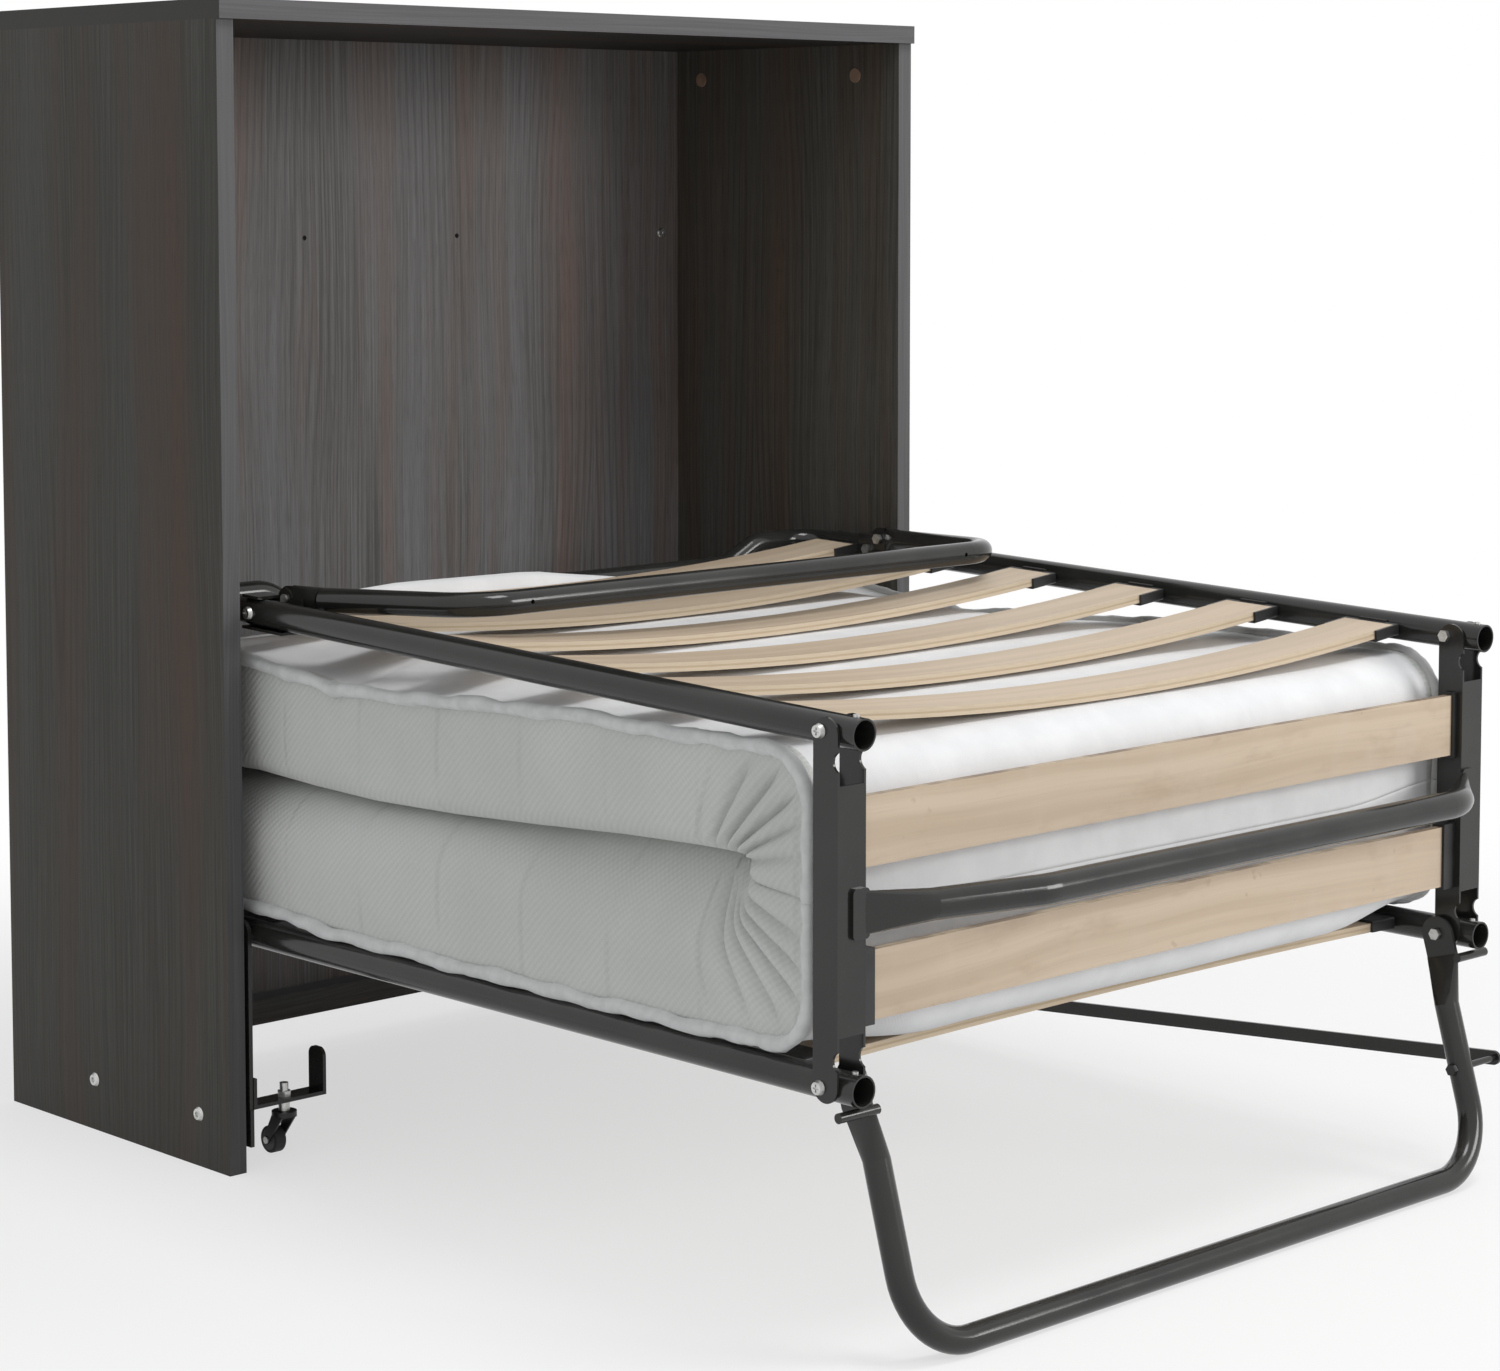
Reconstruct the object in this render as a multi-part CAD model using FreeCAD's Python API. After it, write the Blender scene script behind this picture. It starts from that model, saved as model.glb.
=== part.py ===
import FreeCAD, Part
import math
import os

# Cabinet bed: an open-fronted cabinet on the floor that carries a single folding bed.
# Millimetres, +Z up. X runs across the width from the middle plane, Y runs to the back and is
# zero at the front edges of the side panels, Z is zero on the floor. At the end every piece is
# moved along Y, so that the origin is the middle of the base of the whole bed at rest.
# Left and right are as seen from the front: the side factor is -1 on the left, +1 on the right.

SIDES = {"left": -1.0, "right": 1.0}

# ---- cabinet ----
CAB_WIDTH = 876.0
CAB_DEPTH = 360.0
CAB_HEIGHT = 1050.0
BOARD = 18.0
TOP_OVERHANG = 5.0
BACK_FOOT_GAP = 40.0
BASE_RAIL_HEIGHT = 25.0
BASE_RAIL_DEPTH = 28.0
CAM_COVER_R = 7.5
CAM_COVER_THICK = 1.5
CAM_COVER_DROP = 32.0
CAM_COVER_FRONT = 63.5
CAM_COVER_REAR_INSET = 58.0
BACK_HOLE_R = 2.5
BACK_HOLE_XS = (-93.0, 105.0)
BACK_HOLE_Z = 832.0
BACK_SCREW_INSET = 24.5
BACK_SCREW_R = 4.5
BACK_SCREW_PROUD = 1.5

# ---- steel brackets on the cabinet sides ----
BRACKET_STEEL = 4.0
BRACKET_GAP = 5.0
BRACKET_FOOT_LOW = 22.0
BRACKET_FOOT_HIGH = 56.0
BRACKET_FOOT_LENGTH = 240.0
UPRIGHT_WIDTH = 22.0
UPRIGHT_FRONT = 1.0
UPRIGHT_ABOVE_PIVOT = 15.0
PANEL_BOLT_YS = {"left": (47.6, 217.0), "right": (90.0, 217.0)}
PANEL_BOLT_Z = 48.0
PANEL_BOLT_R = 3.5
PANEL_BOLT_HEAD_R = 6.5
PANEL_BOLT_HEAD = 2.5
PANEL_HEAD_TAPER = 1.5
PANEL_NUT_R = 6.0
PANEL_NUT = 4.0
SPACER_R = 6.0
CRADLE_SPAN = 80.5
CRADLE_WIDTH = 22.0
CRADLE_LOW = 56.0
CRADLE_STEEL = 3.5
CRADLE_TAB_LOW = 84.0
CRADLE_TAB_HIGH = 99.0
CRADLE_TAB_ROUND = 8.0
PIVOT_BACK = 12.0
PIVOT_HEIGHT = 213.0
PIVOT_BOLT_R = 4.0

# ---- casters ----
CASTER_FROM_BRACKET = 41.0
CASTER_FLOOR_GAP = 4.0
WHEEL_R = 12.5
WHEEL_WIDTH = 12.0
TYRE_THICK = 3.0
CASTER_TRAIL = 17.0
STEM_R = 4.0
STEM_ABOVE_CRADLE = 12.5
STEM_NUT_R = 6.5
STEM_NUT_HEIGHT = 5.0
FORK_BELOW_CRADLE = 10.0
FORK_STEEL = 1.6
FORK_SIDE_GAP = 0.6
FORK_HEAD_R = 11.5
FORK_HEAD_THICK = 4.0
AXLE_R = 2.0

# ---- folding frame ----
RAIL_R = 12.5
RAIL_WALL = 1.5
RAIL_MARGIN = 25.0
HINGE_REACH = 734.0
STUB_LENGTH = 32.0
LOWER_RAIL_TAIL = 100.0
LOWER_CROSS_Y = 103.0
UPPER_RAIL_END = 62.0
HINGE_SPACING = 270.0
UPPER_TILT_DEG = 1.8
TUBE_R = 11.0
TUBE_WALL = 1.5
RIVET_R = 2.5
RIVET_HEIGHT = 1.5
RIVET_FROM_END = 9.0

# ---- mid posts ----
POST_STEEL = 2.2
POST_REAR_MARGIN = 7.0
POST_DEPTH = 26.0
POST_END_MARGIN = 11.0
WEB_END_GAP = 40.0
NOTCH_R = 8.0
NOTCH_FROM_HINGE = 22.0
NOTCH_AHEAD = 3.0

# ---- bolts of the frame ----
HINGE_BOLT_R = 3.0
HINGE_HEAD_R = 6.0
HINGE_HEAD = 3.5
HINGE_HEAD_TAPER = 1.2
HINGE_NUT_R = 5.5
HINGE_NUT = 4.5
RECESS_WIDTH = 1.4
RECESS_LENGTH = 6.0
RECESS_DEPTH = 1.2

# ---- slats ----
SLAT_WIDTH = 54.0
SLAT_THICK = 8.0
SLAT_END_INSET = 17.0
SLAT_PITCH = 138.0
SLAT_FIRST = 81.0
SLAT_COUNT = 6
LOWER_BOW = 4.0
UPPER_BOW = 20.0
CAP_WALL = 2.5
CAP_BACK = 2.5
CAP_LENGTH = 33.0
CAP_NECK_HEIGHT = 12.0
CAP_ROUND = 2.0
MID_SLAT_SETBACK = 8.3
MID_SLAT_RISES = (72.5, 190.5)
MID_SLAT_BOW = 2.0
MID_CAP_LENGTHS = (16.0, 5.0)

# ---- handle tube across the mid section ----
HANDLE_RISE = 132.0
HANDLE_AHEAD = 56.0
HANDLE_R = 12.5
HANDLE_LEFT_CORNER_INWARD = 175.0
HANDLE_RIGHT_CORNER_INWARD = 73.0
HANDLE_BEND = 60.0
HANDLE_WELD_INWARD = 9.0
HANDLE_LEFT_BLEND = 65.0
HANDLE_RIGHT_BLEND = 50.0
HANDLE_TAB_WIDTH = 17.6
HANDLE_TAB_HEIGHT = 39.0
HANDLE_TAB_STEEL = 3.0
HANDLE_TAB_ROUND = 4.0
HANDLE_TAB_INWARD = 7.6
FLAT_HALF_WIDTH = 17.0
FLAT_HALF_THICK = 1.9

# ---- front leg and its brace ----
LEG_INWARD = 29.0
LEG_LEAN_DEG = 16.04
LEG_BEND = 60.0
LEG_FOLD_DEG = 87.4
LEG_PLATE_LENGTH = 20.0
LEG_BLEND = 42.0
STOP_ROD_R = 4.0
STOP_ROD_AHEAD = 23.5
STOP_ROD_DROP = 18.5
STOP_ROD_INWARD = 23.5
STOP_ROD_OUTWARD = 18.5
BRACE_ATTACH = 120.0
BRACE_STEEL = 3.0
BRACE_HEIGHT = 13.0
BRACE_PIVOT_Z = 32.0
BRACE_PIN_R = 3.0
BRACE_HEAD_R = 6.0
BRACE_HEAD = 3.0
BRACE_PANEL_GAP = 1.0

# ---- leg of the upper section, folded on top of it ----
UPPER_LEG_FROM_HINGE = 707.0
UPPER_LEG_OFFSET = 13.0
UPPER_LEG_LENGTH = 206.0
UPPER_LEG_REST_DEG = 93.8
UPPER_LEG_CORNER_INWARD = 65.0
UPPER_LEG_BEND = 52.0
UPPER_LEG_PLATE_LENGTH = 8.0
UPPER_LEG_BLEND = 32.0
UPPER_LEG_FLAT_HALF = 12.5
UPPER_LEG_HOLE_R = 2.0
UPPER_LEG_HOLE_INWARD = 119.0
UPPER_LEG_HEAD_R = 4.5
UPPER_LEG_HEAD = 2.0
CLIP_STEEL = 2.6
CLIP_AHEAD = 25.0
CLIP_BEHIND = 34.0
CLIP_TAB = 22.0
CLIP_EAR_R = 10.0
CLIP_BOLT_BEHIND = 20.0
END_TUBE_RUN = 46.0
END_TUBE_INWARD = 78.0
END_TUBE_SLOPE = 42.0
END_TUBE_DROP = 22.0
END_TUBE_BEND = 40.0

# ---- mattress ----
MATTRESS_SIDE_OUT = 5.0
MATTRESS_LOWER_TAIL = 130.0
MATTRESS_UPPER_TAIL = 145.0
MATTRESS_BEHIND_HINGE = 14.0
MATTRESS_SIDE_RISE = 23.0
MATTRESS_SIDE_DROP = 17.0
MATTRESS_TAIL_LOW_FROM = 82.0
MATTRESS_TAIL_DROP = 10.5
MATTRESS_TAIL_STEP = 9.0
MATTRESS_SPLIT_REAR_RISE = 137.0
MATTRESS_SPLIT_FRONT_RISE = 156.0
MATTRESS_LAYER_GAP = 1.0
MATTRESS_FOLD_DEPTH = 108.0
MATTRESS_MITRE_GAP = 0.3
MATTRESS_SIDE_BULGE = 5.0
MATTRESS_CORNER = 40.0
MATTRESS_TAIL_ROUND = 16.0
MATTRESS_TAIL_DRAW = 10.0
MATTRESS_EDGE_DRAW = 7.0
MATTRESS_EDGE_RUN = 30.0

# ---- clearances ----
RUN_GAP = 0.05
SIDE_GAP = 0.3
SOFT_GAP = 0.3

# ---- derived places ----
INNER_X = CAB_WIDTH / 2 - BOARD
CAM_COVER_YS = (CAM_COVER_FRONT, CAB_DEPTH - CAM_COVER_REAR_INSET)
UPRIGHT_TOP = PIVOT_HEIGHT + UPRIGHT_ABOVE_PIVOT
RAIL_X = INNER_X - RAIL_MARGIN
SLAT_HALF = RAIL_X - SLAT_END_INSET
LEG_X = RAIL_X - LEG_INWARD
HINGE_LOW = (PIVOT_BACK - HINGE_REACH, PIVOT_HEIGHT)
HINGE_HIGH = (HINGE_LOW[0], HINGE_LOW[1] + HINGE_SPACING)
CASTER_Y = CRADLE_WIDTH / 2
BRACKET_OUT_X = INNER_X - BRACKET_GAP
BRACKET_IN_X = BRACKET_OUT_X - BRACKET_STEEL
CASTER_INSET = BRACKET_IN_X - CASTER_FROM_BRACKET
BRACE_X = INNER_X - BRACE_PANEL_GAP - BRACE_STEEL
OUTER_FLANGE_X = RAIL_X + RAIL_R + SIDE_GAP
OUTER_FACE_X = OUTER_FLANGE_X + POST_STEEL
INNER_FLANGE_X = RAIL_X - RAIL_R - SIDE_GAP
INNER_FACE_X = INNER_FLANGE_X - POST_STEEL
POST_REAR_Y = HINGE_LOW[0] + POST_REAR_MARGIN
POST_FRONT_Y = POST_REAR_Y - POST_DEPTH
LEG_PLATE_X = LEG_X + TUBE_R
HANDLE_Y = HINGE_LOW[0] - HANDLE_AHEAD
MATTRESS_HALF_WIDTH = RAIL_X + MATTRESS_SIDE_OUT
MATTRESS_FRONT = HINGE_LOW[0] + MATTRESS_BEHIND_HINGE
MATTRESS_APEX_Y = MATTRESS_FRONT + MATTRESS_FOLD_DEPTH
MATTRESS_SIDE_LOW = HINGE_LOW[1] + MATTRESS_SIDE_RISE
MATTRESS_SIDE_HIGH = HINGE_HIGH[1] - MATTRESS_SIDE_DROP
MATTRESS_SEAT_LOW = HINGE_LOW[1] + LOWER_BOW + SLAT_THICK / 2 + SOFT_GAP
MATTRESS_TAIL_LOW = HINGE_LOW[1] + TUBE_R + SOFT_GAP
MATTRESS_TAIL_HIGH = HINGE_HIGH[1] - MATTRESS_TAIL_DROP
MATTRESS_SPLIT_REAR_Z = HINGE_LOW[1] + MATTRESS_SPLIT_REAR_RISE
MATTRESS_SPLIT_FRONT_Z = HINGE_LOW[1] + MATTRESS_SPLIT_FRONT_RISE


def vec(x, y, z):
    return FreeCAD.Vector(x, y, z)


def box(x0, x1, y0, y1, z0, z1):
    low = vec(min(x0, x1), min(y0, y1), min(z0, z1))
    return Part.makeBox(abs(x1 - x0), abs(y1 - y0), abs(z1 - z0), low)


def rod_x(radius, x0, x1, y, z):
    """Cylinder along X between x0 and x1."""
    return Part.makeCylinder(radius, abs(x1 - x0), vec(min(x0, x1), y, z), vec(1, 0, 0))


def rod_between(radius, start, end):
    run = end.sub(start)
    return Part.makeCylinder(radius, run.Length, start, run)


def hex_x(radius, x0, x1, y, z):
    """Hexagonal prism along X, radius to its corners."""
    corners = []
    for step in range(7):
        angle = math.radians(60.0 * step)
        corners.append(vec(x0, y + radius * math.cos(angle), z + radius * math.sin(angle)))
    return Part.Face(Part.makePolygon(corners)).extrude(vec(x1 - x0, 0, 0))


def plate_x(points, x0, x1):
    """Flat plate in the YZ plane, from (y, z) points, between two X faces."""
    loop = [vec(x0, y, z) for y, z in points]
    loop.append(loop[0])
    return Part.Face(Part.makePolygon(loop)).extrude(vec(x1 - x0, 0, 0))


def bar_x(y0, z0, y1, z1, half_height, x0, x1):
    """Flat bar with round ends, in a YZ plane, from (y0, z0) to (y1, z1)."""
    run = math.hypot(y1 - y0, z1 - z0)
    side_y = -(z1 - z0) / run * half_height
    side_z = (y1 - y0) / run * half_height
    corners = [(y0 + side_y, z0 + side_z), (y1 + side_y, z1 + side_z),
               (y1 - side_y, z1 - side_z), (y0 - side_y, z0 - side_z)]
    solid = plate_x(corners, x0, x1)
    solid = solid.fuse(rod_x(half_height, x0, x1, y0, z0))
    return solid.fuse(rod_x(half_height, x0, x1, y1, z1)).removeSplitter()


def rounded_path(points, radius):
    """Wire of straight runs joined by tangent arcs."""
    edges = []
    start = points[0]
    for index in range(1, len(points) - 1):
        corner = points[index]
        back = points[index - 1].sub(corner)
        ahead = points[index + 1].sub(corner)
        back.normalize()
        ahead.normalize()
        half = back.getAngle(ahead) / 2
        trim = radius / math.tan(half)
        enter = corner.add(vec(*back).multiply(trim))
        leave = corner.add(vec(*ahead).multiply(trim))
        inward = back.add(ahead)
        inward.normalize()
        centre = corner.add(vec(*inward).multiply(radius / math.sin(half)))
        middle = centre.sub(vec(*inward).multiply(radius))
        edges.append(Part.LineSegment(start, enter).toShape())
        edges.append(Part.Arc(enter, middle, leave).toShape())
        start = leave
    edges.append(Part.LineSegment(start, points[-1]).toShape())
    return Part.Wire(edges)


def swept_rod(points, bend, radius):
    path = rounded_path(points, bend)
    aim = points[1].sub(points[0])
    ring = Part.Wire([Part.Circle(points[0], aim, radius).toShape()])
    return path.makePipeShell([ring], True, True)


def bent_tube(points, bend, radius, wall):
    """Round tube along points with bends of one radius, open at both ends."""
    return swept_rod(points, bend, radius).cut(swept_rod(points, bend, radius - wall))


def four_arc_ring(centre, wide, thin, half_wide, half_thin, squareness):
    """Closed ring of four arcs: a circle, or the same ring pressed flat."""
    def at(u, v):
        return centre.add(vec(*wide).multiply(u)).add(vec(*thin).multiply(v))
    corner_u = half_wide * squareness[0]
    corner_v = half_thin * squareness[1]
    corners = [at(corner_u, corner_v), at(-corner_u, corner_v),
               at(-corner_u, -corner_v), at(corner_u, -corner_v)]
    middles = [at(0, half_thin), at(-half_wide, 0), at(0, -half_thin), at(half_wide, 0)]
    edges = []
    for index in range(4):
        ahead = corners[(index + 1) % 4]
        edges.append(Part.Arc(corners[index], middles[index], ahead).toShape())
    return Part.Wire(edges)


ROUND_RING = (math.sqrt(0.5), math.sqrt(0.5))
FLAT_RING = (0.93, 0.86)


def pressed_end(round_at, flat_at, wide, thin, radius, flat_half):
    """Stretch of tube that goes from round to pressed flat."""
    middle = round_at.add(flat_at).multiply(0.5)
    mid_wide = (radius + flat_half) / 2
    mid_thin = (radius + FLAT_HALF_THICK) / 2
    mid_ring = ((ROUND_RING[0] + FLAT_RING[0]) / 2, (ROUND_RING[1] + FLAT_RING[1]) / 2)
    rings = [four_arc_ring(round_at, wide, thin, radius, radius, ROUND_RING),
             four_arc_ring(middle, wide, thin, mid_wide, mid_thin, mid_ring),
             four_arc_ring(flat_at, wide, thin, flat_half, FLAT_HALF_THICK, FLAT_RING)]
    return Part.makeLoft(rings, True, False)


def mirrored(shape):
    return shape.mirror(vec(0, 0, 0), vec(1, 0, 0))


def on_side(shape, side):
    """Pieces are drawn on the right; the left one is the mirror image."""
    return shape if side > 0 else mirrored(shape)


def turn_about(shape, pivot, degrees):
    """Turn about the X axis through a (y, z) pivot."""
    turned = shape.copy()
    turned.rotate(vec(0, pivot[0], pivot[1]), vec(1, 0, 0), degrees)
    return turned


# ---------------------------------------------------------------- cabinet

def side_panel(side_name):
    panel = box(INNER_X, CAB_WIDTH / 2, 0, CAB_DEPTH, 0, CAB_HEIGHT - BOARD)
    for y in PANEL_BOLT_YS[side_name]:
        panel = panel.cut(rod_x(PANEL_BOLT_R, INNER_X, CAB_WIDTH / 2, y, PANEL_BOLT_Z))
    return panel


def top_panel():
    return box(-CAB_WIDTH / 2, CAB_WIDTH / 2, -TOP_OVERHANG, CAB_DEPTH,
               CAB_HEIGHT - BOARD, CAB_HEIGHT)


def back_screw_places():
    reach = INNER_X - BACK_SCREW_INSET
    return [vec(x, CAB_DEPTH - BOARD, BACK_HOLE_Z) for x in (-reach, reach)]


def back_screw(place):
    cup = Part.makeCone(BACK_SCREW_R + 1.0, BACK_SCREW_R, BACK_SCREW_PROUD, place, vec(0, -1, 0))
    shank = Part.makeCylinder(BACK_SCREW_R / 2, BOARD, place, vec(0, 1, 0))
    recess = Part.makeCylinder(BACK_SCREW_R / 3, BACK_SCREW_PROUD,
                               place.add(vec(0, -BACK_SCREW_PROUD / 2, 0)), vec(0, -1, 0))
    return cup.cut(recess).fuse(shank)


def back_panel():
    panel = box(-INNER_X, INNER_X, CAB_DEPTH - BOARD, CAB_DEPTH, BACK_FOOT_GAP, CAB_HEIGHT - BOARD)
    for x in BACK_HOLE_XS:
        start = vec(x, CAB_DEPTH - BOARD, BACK_HOLE_Z)
        panel = panel.cut(Part.makeCylinder(BACK_HOLE_R, BOARD, start, vec(0, 1, 0)))
    for place in back_screw_places():
        panel = panel.cut(Part.makeCylinder(BACK_SCREW_R / 2, BOARD, place, vec(0, 1, 0)))
    return panel


def base_rail():
    rear = CAB_DEPTH - BOARD
    return box(-INNER_X, INNER_X, rear - BASE_RAIL_DEPTH, rear,
               BACK_FOOT_GAP, BACK_FOOT_GAP + BASE_RAIL_HEIGHT)


def cam_covers():
    covers = []
    z = CAB_HEIGHT - BOARD - CAM_COVER_DROP
    for side in SIDES.values():
        for y in CAM_COVER_YS:
            disc = rod_x(CAM_COVER_R, INNER_X - CAM_COVER_THICK, INNER_X, y, z)
            disc = disc.cut(rod_x(CAM_COVER_R / 4, INNER_X - CAM_COVER_THICK,
                                  INNER_X - CAM_COVER_THICK / 2, y, z))
            covers.append(on_side(disc, side))
    return covers


def recess_x(face_x, y, z, outward):
    """Cross-shaped driver recess, cut inwards from a head's outer face."""
    inner = face_x - outward * RECESS_DEPTH
    half_long = RECESS_LENGTH / 2
    half_wide = RECESS_WIDTH / 2
    upright = box(inner, face_x, y - half_wide, y + half_wide, z - half_long, z + half_long)
    level = box(inner, face_x, y - half_long, y + half_long, z - half_wide, z + half_wide)
    return upright.fuse(level)


def panel_bolt(y):
    """Round-headed bolt from outside, through panel, spacer and bracket, with its nut inside."""
    outer = CAB_WIDTH / 2
    head = Part.makeCone(PANEL_BOLT_HEAD_R, PANEL_BOLT_HEAD_R - PANEL_HEAD_TAPER, PANEL_BOLT_HEAD,
                         vec(outer, y, PANEL_BOLT_Z), vec(1, 0, 0))
    socket = hex_x(PANEL_BOLT_R * 0.8, outer + 1.0, outer + PANEL_BOLT_HEAD, y, PANEL_BOLT_Z)
    shank = rod_x(PANEL_BOLT_R, BRACKET_IN_X - PANEL_NUT, outer, y, PANEL_BOLT_Z)
    nut = hex_x(PANEL_NUT_R, BRACKET_IN_X - PANEL_NUT, BRACKET_IN_X, y, PANEL_BOLT_Z)
    return head.cut(socket).fuse(shank).fuse(nut).removeSplitter()


def bracket_spacer(y):
    ring = rod_x(SPACER_R, BRACKET_OUT_X, INNER_X, y, PANEL_BOLT_Z)
    return ring.cut(rod_x(PANEL_BOLT_R, BRACKET_OUT_X, INNER_X, y, PANEL_BOLT_Z))


def at_panel_bolts(make):
    return [on_side(make(y), side) for name, side in SIDES.items() for y in PANEL_BOLT_YS[name]]


# ---------------------------------------------------------------- steel brackets


def brace_pivot_place():
    """Rear pivot of the brace, so that the leg is turned by its fold angle as the bed stands up."""
    lean = math.radians(LEG_LEAN_DEG)
    down_y = -BRACE_ATTACH * math.sin(lean)
    down_z = -BRACE_ATTACH * math.cos(lean)
    rest = (HINGE_LOW[0] + down_y, HINGE_LOW[1] + down_z)
    turn = math.radians(LEG_FOLD_DEG - 90.0)
    stowed_hinge = (PIVOT_BACK + HINGE_LOW[1] - PIVOT_HEIGHT, PIVOT_HEIGHT + PIVOT_BACK - HINGE_LOW[0])
    stowed = (stowed_hinge[0] + down_y * math.cos(turn) - down_z * math.sin(turn),
              stowed_hinge[1] + down_y * math.sin(turn) + down_z * math.cos(turn))
    mid_y = (rest[0] + stowed[0]) / 2
    mid_z = (rest[1] + stowed[1]) / 2
    run_y = stowed[0] - rest[0]
    run_z = stowed[1] - rest[1]
    return rest, (mid_y - run_z * (BRACE_PIVOT_Z - mid_z) / run_y, BRACE_PIVOT_Z)


def pivot_bracket(side_name):
    """Flat steel L: a foot along the side panel and an upright with a round top for the pivot."""
    foot = box(BRACKET_IN_X, BRACKET_OUT_X, 0, BRACKET_FOOT_LENGTH, BRACKET_FOOT_LOW, BRACKET_FOOT_HIGH)
    middle_y = UPRIGHT_FRONT + UPRIGHT_WIDTH / 2
    arm = bar_x(middle_y, BRACKET_FOOT_LOW + UPRIGHT_WIDTH / 2, middle_y,
                UPRIGHT_TOP - UPRIGHT_WIDTH / 2, UPRIGHT_WIDTH / 2, BRACKET_IN_X, BRACKET_OUT_X)
    bracket = foot.fuse(arm).removeSplitter()
    holes = [(PIVOT_BACK, PIVOT_HEIGHT, PIVOT_BOLT_R)]
    holes += [(y, PANEL_BOLT_Z, PANEL_BOLT_R) for y in PANEL_BOLT_YS[side_name]]
    if side_name == "right":
        _, brace_pivot = brace_pivot_place()
        holes.append((brace_pivot[0], brace_pivot[1], BRACE_PIN_R))
    for y, z, radius in holes:
        bracket = bracket.cut(rod_x(radius, BRACKET_IN_X, BRACKET_OUT_X, y, z))
    return bracket


def caster_cradle():
    """Strip welded to the upright that carries a caster, turned up at both ends."""
    outer = BRACKET_IN_X
    inner = outer - CRADLE_SPAN
    top_of_floor = CRADLE_LOW + CRADLE_STEEL
    floor = box(inner, outer, 0, CRADLE_WIDTH, CRADLE_LOW, top_of_floor)
    far_tab = box(inner, inner + CRADLE_STEEL, 0, CRADLE_WIDTH, CRADLE_LOW, CRADLE_TAB_HIGH)
    tips = [edge for edge in far_tab.Edges
            if abs(edge.BoundBox.ZMin - CRADLE_TAB_HIGH) < 0.01 and edge.BoundBox.YLength < 0.01]
    far_tab = far_tab.makeFillet(CRADLE_TAB_ROUND, tips)
    near_tab = box(outer - CRADLE_STEEL, outer, 0, CRADLE_WIDTH, CRADLE_LOW, CRADLE_TAB_LOW)
    cradle = floor.fuse(far_tab).fuse(near_tab).removeSplitter()
    hole = Part.makeCylinder(STEM_R, CRADLE_STEEL, vec(CASTER_INSET, CASTER_Y, CRADLE_LOW))
    return cradle.cut(hole)


def pivot_bolt():
    """Rear pivot of the bed: held in the upright, running in the rail."""
    shank = rod_x(PIVOT_BOLT_R, RAIL_X - RAIL_R - SIDE_GAP, BRACKET_OUT_X, PIVOT_BACK, PIVOT_HEIGHT)
    nut_face = RAIL_X - RAIL_R - SIDE_GAP
    nut = hex_x(PIVOT_BOLT_R * 1.8, nut_face - HINGE_NUT, nut_face, PIVOT_BACK, PIVOT_HEIGHT)
    collar = rod_x(PIVOT_BOLT_R * 1.6, RAIL_X + RAIL_R + SIDE_GAP, BRACKET_IN_X,
                   PIVOT_BACK, PIVOT_HEIGHT)
    return shank.fuse(nut).fuse(collar).removeSplitter()


# ---------------------------------------------------------------- casters

WHEEL_Z = CASTER_FLOOR_GAP + WHEEL_R
FORK_TOP = CRADLE_LOW - FORK_BELOW_CRADLE


def caster_stem():
    base = vec(CASTER_INSET, CASTER_Y, FORK_TOP - FORK_HEAD_THICK)
    top = CRADLE_LOW + CRADLE_STEEL + STEM_ABOVE_CRADLE
    stem = Part.makeCylinder(STEM_R, top - base.z, base)
    collar = Part.makeCylinder(STEM_R * 1.3, CRADLE_LOW - FORK_TOP - SIDE_GAP,
                               vec(base.x, base.y, FORK_TOP + SIDE_GAP))
    return stem.fuse(collar).removeSplitter()


def caster_nut():
    low = CRADLE_LOW + CRADLE_STEEL
    corners = []
    for step in range(7):
        angle = math.radians(60.0 * step)
        corners.append(vec(CASTER_INSET + STEM_NUT_R * math.cos(angle),
                           CASTER_Y + STEM_NUT_R * math.sin(angle), low))
    nut = Part.Face(Part.makePolygon(corners)).extrude(vec(0, 0, STEM_NUT_HEIGHT))
    return nut.cut(Part.makeCylinder(STEM_R, STEM_NUT_HEIGHT, vec(CASTER_INSET, CASTER_Y, low)))


def caster_fork():
    """Pressed steel fork: a round head and two cheeks down to the axle."""
    head = Part.makeCylinder(FORK_HEAD_R, FORK_HEAD_THICK,
                             vec(CASTER_INSET, CASTER_Y, FORK_TOP - FORK_HEAD_THICK))
    axle_y = CASTER_Y + CASTER_TRAIL
    cheek_in = WHEEL_WIDTH / 2 + FORK_SIDE_GAP
    cheek_out = cheek_in + FORK_STEEL
    head_low = FORK_TOP - FORK_HEAD_THICK
    outline = [(CASTER_Y - FORK_HEAD_R * 0.7, head_low), (CASTER_Y + FORK_HEAD_R * 0.7, head_low),
               (axle_y + AXLE_R * 2.2, WHEEL_Z + 1.0), (axle_y, WHEEL_Z - AXLE_R * 2.0),
               (axle_y - AXLE_R * 2.2, WHEEL_Z)]
    fork = head
    for side in (-1.0, 1.0):
        fork = fork.fuse(plate_x(outline, CASTER_INSET + side * cheek_in, CASTER_INSET + side * cheek_out))
    roof = box(CASTER_INSET - cheek_out, CASTER_INSET + cheek_out,
               CASTER_Y - FORK_HEAD_R * 0.7, CASTER_Y + FORK_HEAD_R * 0.7,
               head_low - FORK_STEEL, head_low)
    fork = fork.fuse(roof).removeSplitter()
    fork = fork.cut(Part.makeCylinder(STEM_R + RUN_GAP, FORK_HEAD_THICK + FORK_STEEL,
                                      vec(CASTER_INSET, CASTER_Y, head_low - FORK_STEEL)))
    return fork.cut(rod_x(AXLE_R, CASTER_INSET - cheek_out, CASTER_INSET + cheek_out, axle_y, WHEEL_Z))


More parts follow.
